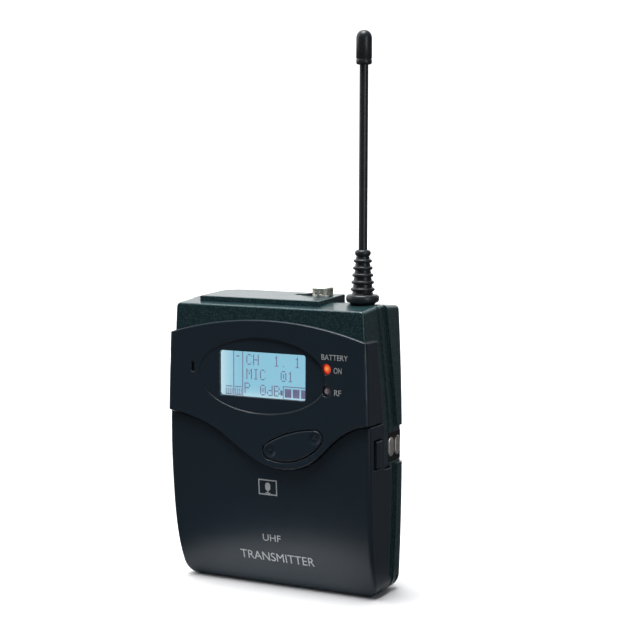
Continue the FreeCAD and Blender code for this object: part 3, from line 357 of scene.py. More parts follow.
# %% Group: tool lines
LINE_DEPTH = 0.01 * MM
tool_lines, takes, gives = new_group(
    "tool lines",
    {
        "Vector": ("Vector", None),
        "Line pitch": ("Float", 0.2 * MM),
        "Strength": ("Float", 0.2),
        "Normal": ("Vector", None),
    },
    {"Normal": "Vector", "Mask": "Float"},
)
per_metre = math_node(tool_lines, "DIVIDE", 1.0, takes["Line pitch"])
lines = put(
    tool_lines,
    "ShaderNodeTexWave",
    {"Vector": takes["Vector"], "Scale": per_metre, "Distortion": 1.5, "Detail": 2.0},
    bands_direction="Z",
)
relief = bump(tool_lines, lines.outputs["Fac"], LINE_DEPTH, takes["Strength"], Normal=takes["Normal"])
tool_lines.links.new(relief, gives["Normal"])
tool_lines.links.new(lines.outputs["Fac"], gives["Mask"])
print("shared groups:", [g.name for g in bpy.data.node_groups])

# %% [markdown]
# A material starts the same way each time: a tree, its shader, and the object's own coordinates in metres.
# finish_set() then lays the shared effects under it: the soft edge first, the grain on top of it,
# the handling marks in the roughness, and a slightly lighter colour where edges rub.

# %% The start that all finishes share
def new_material(name, **sockets):
    material = bpy.data.materials.new(name)
    material.use_nodes = True
    tree = material.node_tree
    shader = tree.nodes["Principled BSDF"]
    for label, value in sockets.items():
        shader.inputs[label.replace("_", " ")].default_value = value
    place = put(tree, "ShaderNodeTexCoord").outputs["Object"]
    return material, tree, shader, place


def use_group(tree, group, inputs):
    node = tree.nodes.new("ShaderNodeGroup")
    node.node_tree = group
    for label, value in inputs.items():
        if isinstance(value, bpy.types.NodeSocket):
            tree.links.new(value, node.inputs[label])
        else:
            node.inputs[label].default_value = value
    return node.outputs


def finish_set(tree, shader, place, colour, worn, edge, grain, height, smooth, dull, strength=0.5):
    """Links edge, grain and handling marks to a shader; colour is a tuple or a socket."""
    corner = use_group(tree, soft_edge, {"Radius": edge})
    inputs = {"Vector": place, "Grain size": grain, "Height": height, "Strength": strength,
              "Normal": corner["Normal"]}
    texture = use_group(tree, moulded_grain, inputs)
    marks = use_group(tree, handling, {"Vector": place, "Smooth": smooth, "Dull": dull})
    rub = math_node(tree, "MULTIPLY", corner["Edge"], 0.35)
    wire(shader, "Base Color", mix_colour(tree, rub, colour, worn))
    wire(shader, "Normal", texture["Normal"])
    wire(shader, "Roughness", marks["Roughness"])
    return corner, texture


# %% [markdown]
# The panel, the door, the catches and the keys are one satin plastic, charcoal with a touch of blue.
# It is very dark itself, so nearly all that the eye sees is the soft reflection of the studio.
# The colour drifts a little from place to place, as it does where the melt flowed into the mould.

# %% Charcoal plastic
def make_charcoal_plastic():
    material, tree, shader, place = new_material("charcoal plastic", Specular_IOR_Level=0.5)
    flow = noise(tree, place, 45.0, 2.0)
    body = mix_colour(tree, flow, (0.0160, 0.0300, 0.0440, 1), (0.0175, 0.0315, 0.0460, 1))
    finish_set(tree, shader, place, body, (0.045, 0.052, 0.060, 1), 0.5 * MM, 0.22 * MM, 0.010 * MM,
               0.285, 0.325)
    return material


# %% [markdown]
# The two shells and the connector plate have a green-black lacquer with fine metal flakes.
# The flakes are a little less rough than the lacquer, so they flash when the object turns.
# A thin clear coat over it all gives the sharp light lines along the beads and corners.

# %% Flaked lacquer
def make_housing_paint():
    material, tree, shader, place = new_material("flaked lacquer", Coat_Weight=0.35, Coat_Roughness=0.18)
    inputs = {"Vector": place, "Flake size": 0.26 * MM, "Lacquer": (0.0075, 0.0300, 0.0360, 1),
              "Flake": (0.060, 0.150, 0.160, 1)}
    flakes = use_group(tree, metal_flake, inputs)
    finish_set(tree, shader, place, flakes["Color"], (0.06, 0.09, 0.09, 1), 0.35 * MM, 0.30 * MM, 0.02 * MM,
               0.285, 0.36)
    wire(shader, "Metallic", math_node(tree, "MULTIPLY", flakes["Mask"], 0.55))
    return material


# %% [markdown]
# Inside, the chassis, the frames and the sockets are plain black mouldings that nobody polished.
# The small black parts on the board are epoxy, which is smoother and a little grey.

# %% Black mouldings and epoxy
def make_plain_plastic(name, colour, worn, smooth, dull, grain):
    material, tree, shader, place = new_material(name)
    finish_set(tree, shader, place, colour, worn, 0.2 * MM, grain, 0.02 * MM, smooth, dull)
    return material


# %% [markdown]
# The antenna, its boot and its cap are one flexible rubber with a silky skin.
# Rubber is never quite black: dust and talc lighten it, most of all where it is touched.

# %% Antenna rubber
def make_antenna_rubber():
    material, tree, shader, place = new_material("antenna rubber", Specular_IOR_Level=0.5)
    talc = noise(tree, place, 260.0, 5.0)
    dust = stretch(tree, talc, 0.45, 0.75)
    body = mix_colour(tree, dust, (0.028, 0.034, 0.039, 1), (0.038, 0.044, 0.048, 1))
    finish_set(tree, shader, place, body, (0.03, 0.035, 0.036, 1), 0.2 * MM, 0.12 * MM, 0.01 * MM, 0.28, 0.40)
    return material


# %% [markdown]
# The keypad mat is silicone and the pad in the door is foam, so both scatter light softly.
# Foam has open cells: a Voronoi distance shows its pores as pits, and their middles are painted darker as
# shade in the hollows.

# %% Silicone and foam
def make_silicone():
    soft = {"Subsurface_Weight": 0.1, "Subsurface_Scale": 0.5 * MM}
    material, tree, shader, place = new_material("keypad silicone", **soft)
    finish_set(tree, shader, place, (0.10, 0.10, 0.11, 1), (0.16, 0.16, 0.17, 1), 0.3 * MM, 0.1 * MM,
               0.01 * MM, 0.5, 0.65)
    return material


def make_foam():
    material, tree, shader, place = new_material("door foam", Roughness=0.95, Specular_IOR_Level=0.2)
    pores = put(tree, "ShaderNodeTexVoronoi", {"Vector": place, "Scale": 2200.0}).outputs["Distance"]
    # painted shade: the colour darkens towards each pore's middle, where the pit lies in shade
    depth = stretch(tree, pores, 0.1, 0.6)
    colour = mix_colour(tree, depth, (0.012, 0.012, 0.013, 1), (0.07, 0.07, 0.075, 1))
    relief = bump(tree, pores, 0.15 * MM, 0.8)
    wire(shader, "Base Color", colour)
    wire(shader, "Normal", relief)
    return material


# %% [markdown]
# The display is a pale blue cell, lit from behind through a diffuser and seen through a clear pane.
# The light enters at the left and lower edges, so the glow is whitest there and evens out to the right.
# The pane is plain glass-clear plastic: it only adds its reflection, with a few hairline scratches.

# %% Display cell and pane
def make_display_cell():
    material, tree, shader, place = new_material("display cell", Roughness=0.4)
    low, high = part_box("lcd_glass")
    across = put(tree, "ShaderNodeSeparateXYZ", {0: place}).outputs
    from_left = stretch(tree, across["X"], low.x + 1.6 * MM, low.x + 9 * MM, 1.0, 0.0)
    from_below = stretch(tree, across["Z"], low.z + 1.4 * MM, low.z + 5 * MM, 0.9, 0.0)
    leak = math_node(tree, "POWER", math_node(tree, "MAXIMUM", from_left, from_below), 2.2)
    weave = noise(tree, place, 900.0)
    glow = mix_colour(tree, leak, (0.30, 0.63, 0.80, 1), (0.66, 0.90, 0.97, 1))
    glow = mix_colour(tree, stretch(tree, weave, 0.3, 0.7, 0.0, 0.12), glow, (0.24, 0.55, 0.74, 1))
    wire(shader, "Emission Color", glow)
    shader.inputs["Emission Strength"].default_value = 0.92
    shader.inputs["Base Color"].default_value = (0.04, 0.06, 0.07, 1)
    return material


def make_clear_pane():
    material, tree, shader, place = new_material("clear pane", Transmission_Weight=1.0, IOR=1.45)
    shader.inputs["Base Color"].default_value = (1, 1, 1, 1)
    fine = noise(tree, place, 700.0, 6.0)
    wire(shader, "Roughness", stretch(tree, fine, 0.55, 0.8, 0.0, 0.05))
    return material


# %% [markdown]
# The status lamp is lit: its plastic dome glows orange in the middle, over the chip, and red at the rim.
# The second lamp is off, so its milky dome is only a pinkish grey.
# A distance from the lamp's own middle, read in object coordinates, draws the hot core.

# %% Lamps and infrared window
def make_lit_lamp():
    material, tree, shader, place = new_material("lit lamp", Roughness=0.25)
    low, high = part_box("status_led")
    core = ((low.x + high.x) / 2 - 0.25 * MM, low.y, (low.z + high.z) / 2 + 0.05 * MM)
    away = put(tree, "ShaderNodeVectorMath", {0: place, 1: core}, operation="DISTANCE").outputs["Value"]
    ramp = put(tree, "ShaderNodeValToRGB", {"Fac": stretch(tree, away, 0.0, 1.75 * MM)})
    ramp.color_ramp.elements[0].color = (1.0, 0.50, 0.10, 1)
    ramp.color_ramp.elements[1].position = 1.0
    ramp.color_ramp.elements[1].color = (0.42, 0.015, 0.008, 1)
    middle_stop = ramp.color_ramp.elements.new(0.45)
    middle_stop.color = (0.90, 0.10, 0.04, 1)
    wire(shader, "Emission Color", ramp.outputs["Color"])
    shader.inputs["Emission Strength"].default_value = 0.8
    shader.inputs["Base Color"].default_value = (0.5, 0.03, 0.02, 1)
    return material


def make_unlit_lamp():
    material, tree, shader, place = new_material("unlit lamp", Roughness=0.35)
    swirl = noise(tree, place, 900.0, 3.0)
    colour = mix_colour(tree, stretch(tree, swirl, 0.35, 0.65), (0.66, 0.52, 0.56, 1), (0.80, 0.68, 0.71, 1))
    wire(shader, "Base Color", colour)
    return material


def make_infrared_window():
    material, tree, shader, place = new_material("infrared window", Coat_Weight=0.6, Coat_Roughness=0.1)
    finish_set(tree, shader, place, (0.006, 0.005, 0.006, 1), (0.02, 0.01, 0.012, 1), 0.2 * MM, 0.4 * MM,
               0.004 * MM, 0.12, 0.22)
    return material


# %% [markdown]
# The socket's nut and the charging pads are nickel plated, which is warmer and darker than chrome.
# Springs, pins and the board's cans are bare steel, and the belt clip has a thin black coat.
# The plated and bare metals take the tool lines, and the plating is duller where it was handled.

# %% Metals
def make_metal(name, colour, dark, smooth, dull, pitch, edge=0.15 * MM):
    material, tree, shader, place = new_material(name, Metallic=1.0)
    corner = use_group(tree, soft_edge, {"Radius": edge})
    inputs = {"Vector": place, "Line pitch": pitch, "Strength": 0.25, "Normal": corner["Normal"]}
    lines = use_group(tree, tool_lines, inputs)
    marks = use_group(tree, handling, {"Vector": place, "Patch size": 3 * MM, "Smooth": smooth, "Dull": dull})
    tarnish = noise(tree, place, 500.0, 4.0)
    colour = mix_colour(tree, stretch(tree, tarnish, 0.4, 0.75), colour, dark)
    wire(shader, "Base Color", colour)
    wire(shader, "Normal", lines["Normal"])
    wire(shader, "Roughness", marks["Roughness"])
    return material


def make_black_wire():
    material, tree, shader, place = new_material("black coated wire", Coat_Weight=0.3, Coat_Roughness=0.2)
    finish_set(tree, shader, place, (0.012, 0.012, 0.013, 1), (0.10, 0.10, 0.10, 1), 0.2 * MM, 0.18 * MM,
               0.012 * MM, 0.28, 0.40)
    return material


# %% [markdown]
# The circuit board is glass fibre under green solder mask, and a fine weave shows through it.
# Two crossed Wave textures make the weave, and a brick pattern hints at copper tracks below the mask.

# %% Circuit board
def make_board():
    material, tree, shader, place = new_material("solder mask", Roughness=0.35, Coat_Weight=0.4)
    fibres = {"Vector": place, "Scale": 700.0}
    weave = [put(tree, "ShaderNodeTexWave", fibres, bands_direction=axis).outputs["Fac"] for axis in "XZ"]
    turned = put(tree, "ShaderNodeMapping", {"Vector": place, "Rotation": (math.radians(90), 0, 0)})
    lines = {"Vector": turned.outputs[0], "Scale": 260.0, "Mortar Size": 0.06}
    tracks = put(tree, "ShaderNodeTexBrick", lines).outputs["Fac"]
    glass = math_node(tree, "MULTIPLY", *weave)
    green = mix_colour(tree, glass, (0.010, 0.085, 0.040, 1), (0.020, 0.130, 0.065, 1))
    green = mix_colour(tree, math_node(tree, "MULTIPLY", tracks, 0.7), green, (0.05, 0.24, 0.10, 1))
    wire(shader, "Base Color", green)
    return material


# %% [markdown]
# Each power cell is a steel can in a printed sleeve: a blue-grey jacket, a pale band near one end and
# bare metal on both end faces. Masks along X, the cells' long axis, place the bands.

# %% Power cell jacket
def make_cell_jacket():
    material, tree, shader, place = new_material("cell jacket", Coat_Weight=0.5, Coat_Roughness=0.12)
    low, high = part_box("upper_cell")
    x = put(tree, "ShaderNodeSeparateXYZ", {0: place}).outputs["X"]
    end = high.x - 1.35 * MM
    from_middle = put(tree, "ShaderNodeMath", {0: x}, operation="ABSOLUTE").outputs[0]
    bare = math_node(tree, "GREATER_THAN", from_middle, end)
    ring = math_node(tree, "COMPARE", from_middle, high.x - 6.5 * MM, 1.4 * MM)
    print_noise = noise(tree, place, 1500.0)
    jacket = mix_colour(tree, print_noise, (0.055, 0.075, 0.115, 1), (0.070, 0.092, 0.135, 1))
    jacket = mix_colour(tree, ring, jacket, (0.42, 0.44, 0.46, 1))
    wire(shader, "Base Color", mix_colour(tree, bare, jacket, (0.62, 0.62, 0.60, 1)))
    wire(shader, "Metallic", bare)
    marks = use_group(tree, handling, {"Vector": place, "Smooth": 0.29, "Dull": 0.38})
    wire(shader, "Roughness", marks["Roughness"])
    return material


# %% [markdown]
# The label on the back is a metallised film: pale grey, with the faint lengthwise brushing of its roll.

# %% Label film and printing inks
def make_label_film():
    material, tree, shader, place = new_material("label film", Metallic=0.35)
    stretched = put(tree, "ShaderNodeMapping", {"Vector": place, "Scale": (0.04, 1.0, 1.0)})
    brushing = noise(tree, stretched.outputs[0], 4000.0)
    colour = mix_colour(tree, brushing, (0.36, 0.37, 0.38, 1), (0.52, 0.53, 0.54, 1))
    wire(shader, "Base Color", colour)
    wire(shader, "Roughness", stretch(tree, brushing, 0.3, 0.7, 0.32, 0.48))
    return material


def make_ink(name, colour, faded):
    """Screen-printing ink: slightly uneven where the mesh of the screen left less of it."""
    material, tree, shader, place = new_material(name, Roughness=0.55, Specular_IOR_Level=0.3)
    cover = noise(tree, place, 3500.0, 3.0)
    wire(shader, "Base Color", mix_colour(tree, stretch(tree, cover, 0.4, 0.75), colour, faded))
    return material


# %% [markdown]
# The marks on a backlit display are not black: a little of the backlight leaks through them.
# So their ink glows faintly in a purple grey, and it would vanish if it relied on the room's light.

# %% Display segments
def make_segments():
    material, tree, shader, place = new_material("display segments", Roughness=0.4)
    leak = noise(tree, place, 600.0)
    share = stretch(tree, leak, 0.3, 0.7)
    purple = mix_colour(tree, share, (0.145, 0.135, 0.240, 1), (0.185, 0.165, 0.280, 1))
    wire(shader, "Emission Color", purple)
    shader.inputs["Emission Strength"].default_value = 1.0
    shader.inputs["Base Color"].default_value = (0.03, 0.03, 0.05, 1)
    return material


# %% [markdown]
# Now each material slot of the frame gets its finish, and every carried-over piece wears it.

# %% Dress the carried-over pieces
finishes = {
    "housing_paint": make_housing_paint(),
    "charcoal_plastic": make_charcoal_plastic(),
    "inner_plastic": make_plain_plastic("black moulding", (0.010, 0.010, 0.011, 1), (0.03, 0.03, 0.03, 1),
                                        0.42, 0.55, 0.3 * MM),
    "antenna_rubber": make_antenna_rubber(),
    "key_mat_rubber": make_silicone(),
    "foam": make_foam(),
    "window_clear": make_clear_pane(),
    "lcd": make_display_cell(),
    "led_red": make_lit_lamp(),
    "led_clear": make_unlit_lamp(),
    "infrared_dark": make_infrared_window(),
    "nickel": make_metal("nickel plate", (0.95, 0.92, 0.84, 1), (0.82, 0.78, 0.69, 1), 0.42, 0.58, 0.14 * MM),
    "bare_steel": make_metal("bare steel", (0.58, 0.58, 0.58, 1), (0.42, 0.42, 0.42, 1), 0.29, 0.42,
                             0.2 * MM),
    "black_steel": make_black_wire(),
    "board_green": make_board(),
    "part_black": make_plain_plastic("black epoxy", (0.02, 0.02, 0.021, 1), (0.05, 0.05, 0.05, 1), 0.35, 0.5,
                                     0.15 * MM),
    "cell_jacket": make_cell_jacket(),
    "label_silver": make_label_film(),
}
slot_of = {part["node"]: part["material_slot"] for part in frame["record"]["subparts"]}
for node, piece in nodes.items():
    for slot in piece.material_slots:
        slot.material = finishes[slot_of[node]]
print("dressed", len(nodes), "pieces in", len(finishes), "finishes")

# %% [markdown]
# Several small pieces are easier to make here than as solids: turned rubber, a castle nut and prints.
# They all start from the same few moves, so those come first.
# start() leaves edit mode and deselects everything, because an operator acts on all that is selected.
# close_up() welds doubled points and turns the faces outwards, which spinning often leaves inside out.
# joined() makes one piece of many, so that a print of many letters is one object.

# %% Modelling helpers
def start():
    if bpy.context.object and bpy.context.object.mode != "OBJECT":
        bpy.ops.object.mode_set(mode="OBJECT")
    bpy.ops.object.select_all(action="DESELECT")


def apply_place():
    bpy.ops.object.transform_apply(location=True, rotation=True, scale=True)


def edit(mode="VERT"):
    bpy.ops.object.mode_set(mode="EDIT")
    bpy.ops.mesh.select_mode(type=mode)


def take_all():
    bpy.ops.mesh.select_all(action="SELECT")


def leave_edit():
    bpy.ops.object.mode_set(mode="OBJECT")


def close_up(weld=0.002 * MM):
    take_all()
    bpy.ops.mesh.remove_doubles(threshold=weld)
    bpy.ops.mesh.normals_make_consistent(inside=False)
    leave_edit()


def only(piece):
    start()
    piece.select_set(True)
    bpy.context.view_layer.objects.active = piece


def settle(piece, name, material, body):
    """Puts a finished piece's place into its mesh, names it, dresses it and lets it ride."""
    only(piece)
    apply_place()
    piece.name = piece.data.name = name
    piece.data.materials.clear()
    piece.data.materials.append(material)
    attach(piece, body)
    faces = sum(len(face.vertices) - 2 for face in piece.data.polygons)
    points = [v.co for v in piece.data.vertices]
    low, high = [[round(end(p[i] for p in points) / MM, 1) for i in range(3)] for end in (min, max)]
    print(f"{name}: {faces} triangles, from {low} to {high} mm")
    return piece


def join_all(pieces):
    start()
    for piece in pieces:
        piece.select_set(True)
    bpy.context.view_layer.objects.active = pieces[0]
    bpy.ops.object.join()
    return pieces[0]


def joined(pieces, name, material, body):
    return settle(join_all(pieces), name, material, body)


def choose(piece, kind, test):
    """Selects the vertices, edges or faces of a piece that pass a test, by place or normal."""
    leave_edit()
    mesh = piece.data
    for part in (*mesh.vertices, *mesh.edges, *mesh.polygons):
        part.select = False
    for part in {"VERT": mesh.vertices, "EDGE": mesh.edges, "FACE": mesh.polygons}[kind]:
        part.select = test(part)
    edit(kind)


# %% [markdown]
# The boot, the cap and the socket's nut are round, so each is one outline spun about its axis.
# turned() merges a plane to a single point, walks that point along the outline by extruding it,
# and spins the chain of edges. rounded_bead() gives the points of a soft rib or rim on that outline.

# %% Turned pieces
def turned(outline, axis, steps=64):
    start()
    bpy.ops.mesh.primitive_plane_add(size=MM, location=(0, 0, 0))
    piece = bpy.context.object
    edit()
    take_all()
    bpy.ops.mesh.merge(type="CENTER")
    radius, height = outline[0]
    bpy.ops.transform.translate(value=(axis[0] + radius, axis[1], height))
    for (r0, z0), (r1, z1) in zip(outline, outline[1:]):
        bpy.ops.mesh.extrude_region_move(TRANSFORM_OT_translate={"value": (r1 - r0, 0, z1 - z0)})
    take_all()
    bpy.ops.mesh.spin(steps=steps, angle=2 * math.pi, center=(*axis, 0), axis=(0, 0, 1))
    close_up()
    return piece


def rounded_bead(foot, reach, low, high, points=7):
    """Half an ellipse from (foot, low) out to foot + reach and back to (foot, high)."""
    middle, half = (low + high) / 2, (high - low) / 2
    angles = [math.pi * (i / (points - 1) - 0.5) for i in range(points)]
    return [(foot + reach * math.cos(a), middle + half * math.sin(a)) for a in angles]


# %% [markdown]
# The boot keeps the whip from bending sharply where it leaves the case.
# Its core narrows upwards, five thin ribs let it flex, a bead closes the top, and a wide foot with a short
# skirt under it seals the case.
# The carried-over boot has the right size, but its ribs are sharp, so this softer one takes its place.

# %% Ribbed boot
boot_low, boot_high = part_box("antenna_boot")
rod_low, rod_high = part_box("antenna_rod")
antenna_axis = ((boot_low.x + boot_high.x) / 2, (boot_low.y + boot_high.y) / 2)
rod_radius = (rod_high.x - rod_low.x) / 2
foot_radius = (boot_high.x - boot_low.x) / 2
foot_top = boot_low.z + 2.3 * MM
bead_low = boot_high.z - 1.8 * MM
RIBS = 5


def core_radius(z):
    share = (z - foot_top) / (bead_low - foot_top)
    return (2.95 - 1.1 * share) * MM


skirt_z = boot_low.z - 0.65 * MM
boot_outline = [(rod_radius, skirt_z), (foot_radius - 1.5 * MM, skirt_z)]
boot_outline += [(foot_radius - 0.9 * MM, boot_low.z)]
boot_outline += rounded_bead(foot_radius - 0.6 * MM, 0.6 * MM, boot_low.z + 0.1 * MM, foot_top - 0.05 * MM, 9)
boot_outline += [(core_radius(foot_top) + 0.25 * MM, foot_top), (core_radius(foot_top), foot_top + 0.2 * MM)]
rib_pitch = (bead_low - foot_top) / (RIBS + 0.35)
for i in range(RIBS):
    rib_z = foot_top + rib_pitch * (i + 0.72)
    foot = core_radius(rib_z)
    boot_outline += rounded_bead(foot, 0.6 * MM, rib_z - 0.52 * MM, rib_z + 0.52 * MM)
boot_outline += [(core_radius(bead_low), bead_low)]
bead_foot = core_radius(bead_low) - 0.3 * MM
boot_outline += rounded_bead(bead_foot, 0.68 * MM, bead_low + 0.05 * MM, boot_high.z, 13)
boot_outline += [(rod_radius + 0.1 * MM, boot_high.z), (rod_radius, boot_high.z - 0.15 * MM)]
ribbed_boot = turned(boot_outline + boot_outline[:1], antenna_axis)
bpy.ops.object.shade_smooth_by_angle(angle=math.radians(50))
settle(ribbed_boot, "ribbed_boot", finishes["antenna_rubber"], "housing")
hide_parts("antenna_boot")

# %% [markdown]
# The cap at the whip's end is a soft thimble, so that the tip pokes nobody.
# Its dome comes to a blunt point, and a shallow groove runs round it just above its lower rim.

# %% Tip cap
tip_low, tip_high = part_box("antenna_tip")
cap_radius = (tip_high.x - tip_low.x) / 2
dome_foot = tip_high.z - 2.3 * MM
GROOVE = 0.12 * MM
cap_outline = [(rod_radius, tip_low.z), (cap_radius - 0.5 * MM, tip_low.z)]
for inward, height in ((GROOVE, 0.2), (0, 0.55), (0, 1.3), (GROOVE, 1.45), (GROOVE, 1.6), (0, 1.75)):
    cap_outline.append((cap_radius - inward, tip_low.z + height * MM))
cap_outline.append((cap_radius, dome_foot))
for i in range(1, 10):
    turn_up = math.radians(9 * i)
    cap_outline.append((cap_radius * math.cos(turn_up) ** 0.85,
                        dome_foot + (tip_high.z - dome_foot) * math.sin(turn_up)))
cap_outline += [(0.0, tip_high.z), (0.0, rod_high.z), (rod_radius, rod_high.z), (rod_radius, tip_low.z)]
tip_cap = turned(cap_outline, antenna_axis)
bpy.ops.object.shade_smooth_by_angle(angle=math.radians(40))
settle(tip_cap, "tip_cap", finishes["antenna_rubber"], "housing")
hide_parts("antenna_tip")

# %% [markdown]
# The audio socket is held by a small castle nut of nickel-plated brass: a round rim on square teeth.
# The nut is turned first, with a rounded rim.
# Its windows are then cut by a ring of small blocks and a Boolean, as a milling cutter would do it.

# %% Socket nut
nut_low, nut_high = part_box("audio_socket_ring")
socket_axis = ((nut_low.x + nut_high.x) / 2, (nut_low.y + nut_high.y) / 2)
nut_radius = (nut_high.x - nut_low.x) / 2
bore_radius = 1.8 * MM
rim_low = nut_high.z - 0.75 * MM
nut_outline = [(bore_radius, nut_low.z), (nut_radius - 0.1 * MM, nut_low.z), (nut_radius - 0.1 * MM, rim_low)]
nut_outline += [(nut_radius - 0.05 * MM, rim_low + 0.08 * MM), (nut_radius, rim_low + 0.3 * MM)]
for i in range(1, 7):
    turn_in = math.radians(15 * i)
    nut_outline.append((nut_radius - 0.42 * MM * (1 - math.cos(turn_in)),
                        rim_low + 0.3 * MM + 0.45 * MM * math.sin(turn_in)))
nut_outline += [(bore_radius + 0.25 * MM, nut_high.z), (bore_radius, nut_high.z - 0.25 * MM)]
nut_outline.append((bore_radius, nut_low.z))
socket_nut = turned(nut_outline, socket_axis, 96)

TEETH = 10
WINDOW_HEIGHT = 1.35 * MM
start()
bpy.ops.mesh.primitive_cube_add(
    size=1.0, location=(socket_axis[0] + nut_radius, socket_axis[1], rim_low - WINDOW_HEIGHT / 2)
)
cutter = bpy.context.object
cutter.dimensions = (1.9 * MM, 1.05 * MM, WINDOW_HEIGHT)
apply_place()
edit()
for i in range(TEETH - 1):
    bpy.ops.mesh.select_linked()
    bpy.ops.mesh.duplicate()
    bpy.ops.transform.rotate(value=-2 * math.pi / TEETH, orient_axis="Z", center_override=(*socket_axis, 0))
leave_edit()
only(socket_nut)
cut = socket_nut.modifiers.new("windows", "BOOLEAN")
cut.object, cut.operation, cut.solver = cutter, "DIFFERENCE", "EXACT"
bpy.ops.object.modifier_apply(modifier=cut.name)
bpy.data.objects.remove(cutter)
round_off = socket_nut.modifiers.new("milled edges", "BEVEL")
round_off.width, round_off.segments, round_off.limit_method = 0.05 * MM, 1, "ANGLE"
bpy.ops.object.modifier_apply(modifier=round_off.name)
bpy.ops.object.shade_smooth_by_angle(angle=math.radians(35))
settle(socket_nut, "socket_nut", finishes["nickel"], "housing")
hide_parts("audio_socket_ring")

# %% [markdown]
# The mute switch is a small sliding wedge beside the socket: high at the socket's end and low at the far end.
# A block is tapered by pushing down its far top edge, and three notches on the slope give a fingernail grip.

# %% Mute wedge
slide_low, slide_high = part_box("mute_slider")
start()
bpy.ops.mesh.primitive_cube_add(size=1.0, location=(slide_low + slide_high) / 2)
mute_wedge = bpy.context.object
mute_wedge.dimensions = slide_high - slide_low
apply_place()
choose(mute_wedge, "VERT", lambda v: v.co.z > slide_high.z - 0.1 * MM and v.co.x < slide_low.x + 0.1 * MM)
bpy.ops.transform.translate(value=(0, 0, -0.5 * MM))
for step in range(1, 4):
    notch_x = slide_low.x + (0.8 + 0.6 * step) * MM
    for side in (-0.12, 0.12):
        take_all()
        bpy.ops.mesh.bisect(plane_co=(notch_x + side * MM, 0, 0), plane_no=(1, 0, 0))
    choose(mute_wedge, "FACE", lambda f: f.normal.z > 0.5 and abs(f.center.x - notch_x) < 0.1 * MM)
    bpy.ops.mesh.extrude_region_move(TRANSFORM_OT_translate={"value": (0, 0, -0.18 * MM)})
take_all()
bpy.ops.mesh.normals_make_consistent(inside=False)
leave_edit()
soften = mute_wedge.modifiers.new("soft edges", "BEVEL")
soften.width, soften.segments, soften.limit_method = 0.06 * MM, 2, "ANGLE"
bpy.ops.object.modifier_apply(modifier=soften.name)
bpy.ops.object.shade_smooth_by_angle(angle=math.radians(40))
settle(mute_wedge, "mute_wedge", finishes["inner_plastic"], "mute_slider")
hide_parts("mute_slider")

# %% [markdown]
# The display shows thin dark marks in a pale blue field, each letter drawn on a grid of five by seven dots.
# A font would be too smooth for that, so each letter is a few straight strokes on that grid.
# A stroke is given by its first and last dot, and bar() turns it into one thin plate.

# %% Display marks
glass_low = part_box("lcd_glass")[0]
MARK_FRONT = glass_low.y - 0.03 * MM
STROKES = {
    "B": [(0, 0, 0, 6), (1, 6, 3, 6), (1, 3, 3, 3), (1, 0, 3, 0), (4, 4, 4, 5), (4, 1, 4, 2)],
    "C": [(0, 1, 0, 5), (1, 6, 3, 6), (1, 0, 3, 0), (4, 5, 4, 5), (4, 1, 4, 1)],
    "H": [(0, 0, 0, 6), (4, 0, 4, 6), (1, 3, 3, 3)],
    "I": [(2, 0, 2, 6), (1, 0, 1, 0), (3, 0, 3, 0), (1, 6, 1, 6), (3, 6, 3, 6)],
    "M": [(0, 0, 0, 6), (4, 0, 4, 6), (1, 5, 1, 5), (3, 5, 3, 5), (2, 3, 2, 4)],
    "P": [(0, 0, 0, 6), (1, 6, 3, 6), (1, 3, 3, 3), (4, 4, 4, 5)],
    "d": [(4, 0, 4, 6), (1, 3, 3, 3), (1, 0, 3, 0), (0, 1, 0, 2)],
    "0": [(0, 1, 0, 5), (4, 1, 4, 5), (1, 6, 3, 6), (1, 0, 3, 0), (2, 2, 2, 4)],
    "1": [(2, 0, 2, 6), (1, 5, 1, 5), (1, 0, 1, 0), (3, 0, 3, 0)],
    ".": [(2, 0, 2, 0)],
    " ": [],
}
DOT_WIDTH, DOT_HEIGHT, LINE = 0.37 * MM, 0.45 * MM, 0.30 * MM
bars = []


def bar(x0, z0, x1, z1):
    """One thin upright plate on the display, from its lower left to its upper right corner."""
    start()
    bpy.ops.mesh.primitive_plane_add(
        size=1.0, rotation=(math.radians(90), 0, 0), location=((x0 + x1) / 2, MARK_FRONT, (z0 + z1) / 2)
    )
    plate = bpy.context.object
    plate.scale = (x1 - x0, z1 - z0, 1)
    bars.append(plate)


def write_on_display(words, x, z):
    for place, letter in enumerate(words):
        for c0, r0, c1, r1 in STROKES[letter]:
            left = x + (place * 6 + c0) * DOT_WIDTH
            low = z + r0 * DOT_HEIGHT
            bar(left, low, left + (c1 - c0) * DOT_WIDTH + LINE, low + (r1 - r0) * DOT_HEIGHT + LINE)


write_on_display("CH  1. 1", -7.4 * MM, 64.2 * MM)
write_on_display("MIC  01", -7.4 * MM, 60.1 * MM)
write_on_display("P", -8.0 * MM, 56.1 * MM)
write_on_display("0dB", -2.9 * MM, 55.8 * MM)
for line_x in (-11.7, -8.75):
    bar(line_x * MM, 55.2 * MM, (line_x + 0.28) * MM, 68.4 * MM)
bar(-10.7 * MM, 66.3 * MM, -9.7 * MM, 66.6 * MM)
for box_x in (-14.2, -11.2):
    bar(box_x * MM, 55.4 * MM, (box_x + 2.2) * MM, 55.65 * MM)
    bar(box_x * MM, 57.6 * MM, (box_x + 2.2) * MM, 57.85 * MM)
    for leg in (0.0, 0.65, 1.3, 1.95):
        bar((box_x + leg) * MM, 55.65 * MM, (box_x + leg + 0.25) * MM, 57.2 * MM)
bar(3.6 * MM, 56.2 * MM, 4.3 * MM, 57.6 * MM)
bar(4.4 * MM, 55.0 * MM, 12.4 * MM, 55.25 * MM)
bar(4.4 * MM, 58.6 * MM, 12.4 * MM, 58.85 * MM)
bar(4.4 * MM, 55.25 * MM, 4.65 * MM, 58.6 * MM)
for segment in range(3):
    left = (5.0 + 2.6 * segment) * MM
    bar(left, 55.7 * MM, left + 2.1 * MM, 58.15 * MM)
joined(bars, "display_marks", make_segments(), "housing")

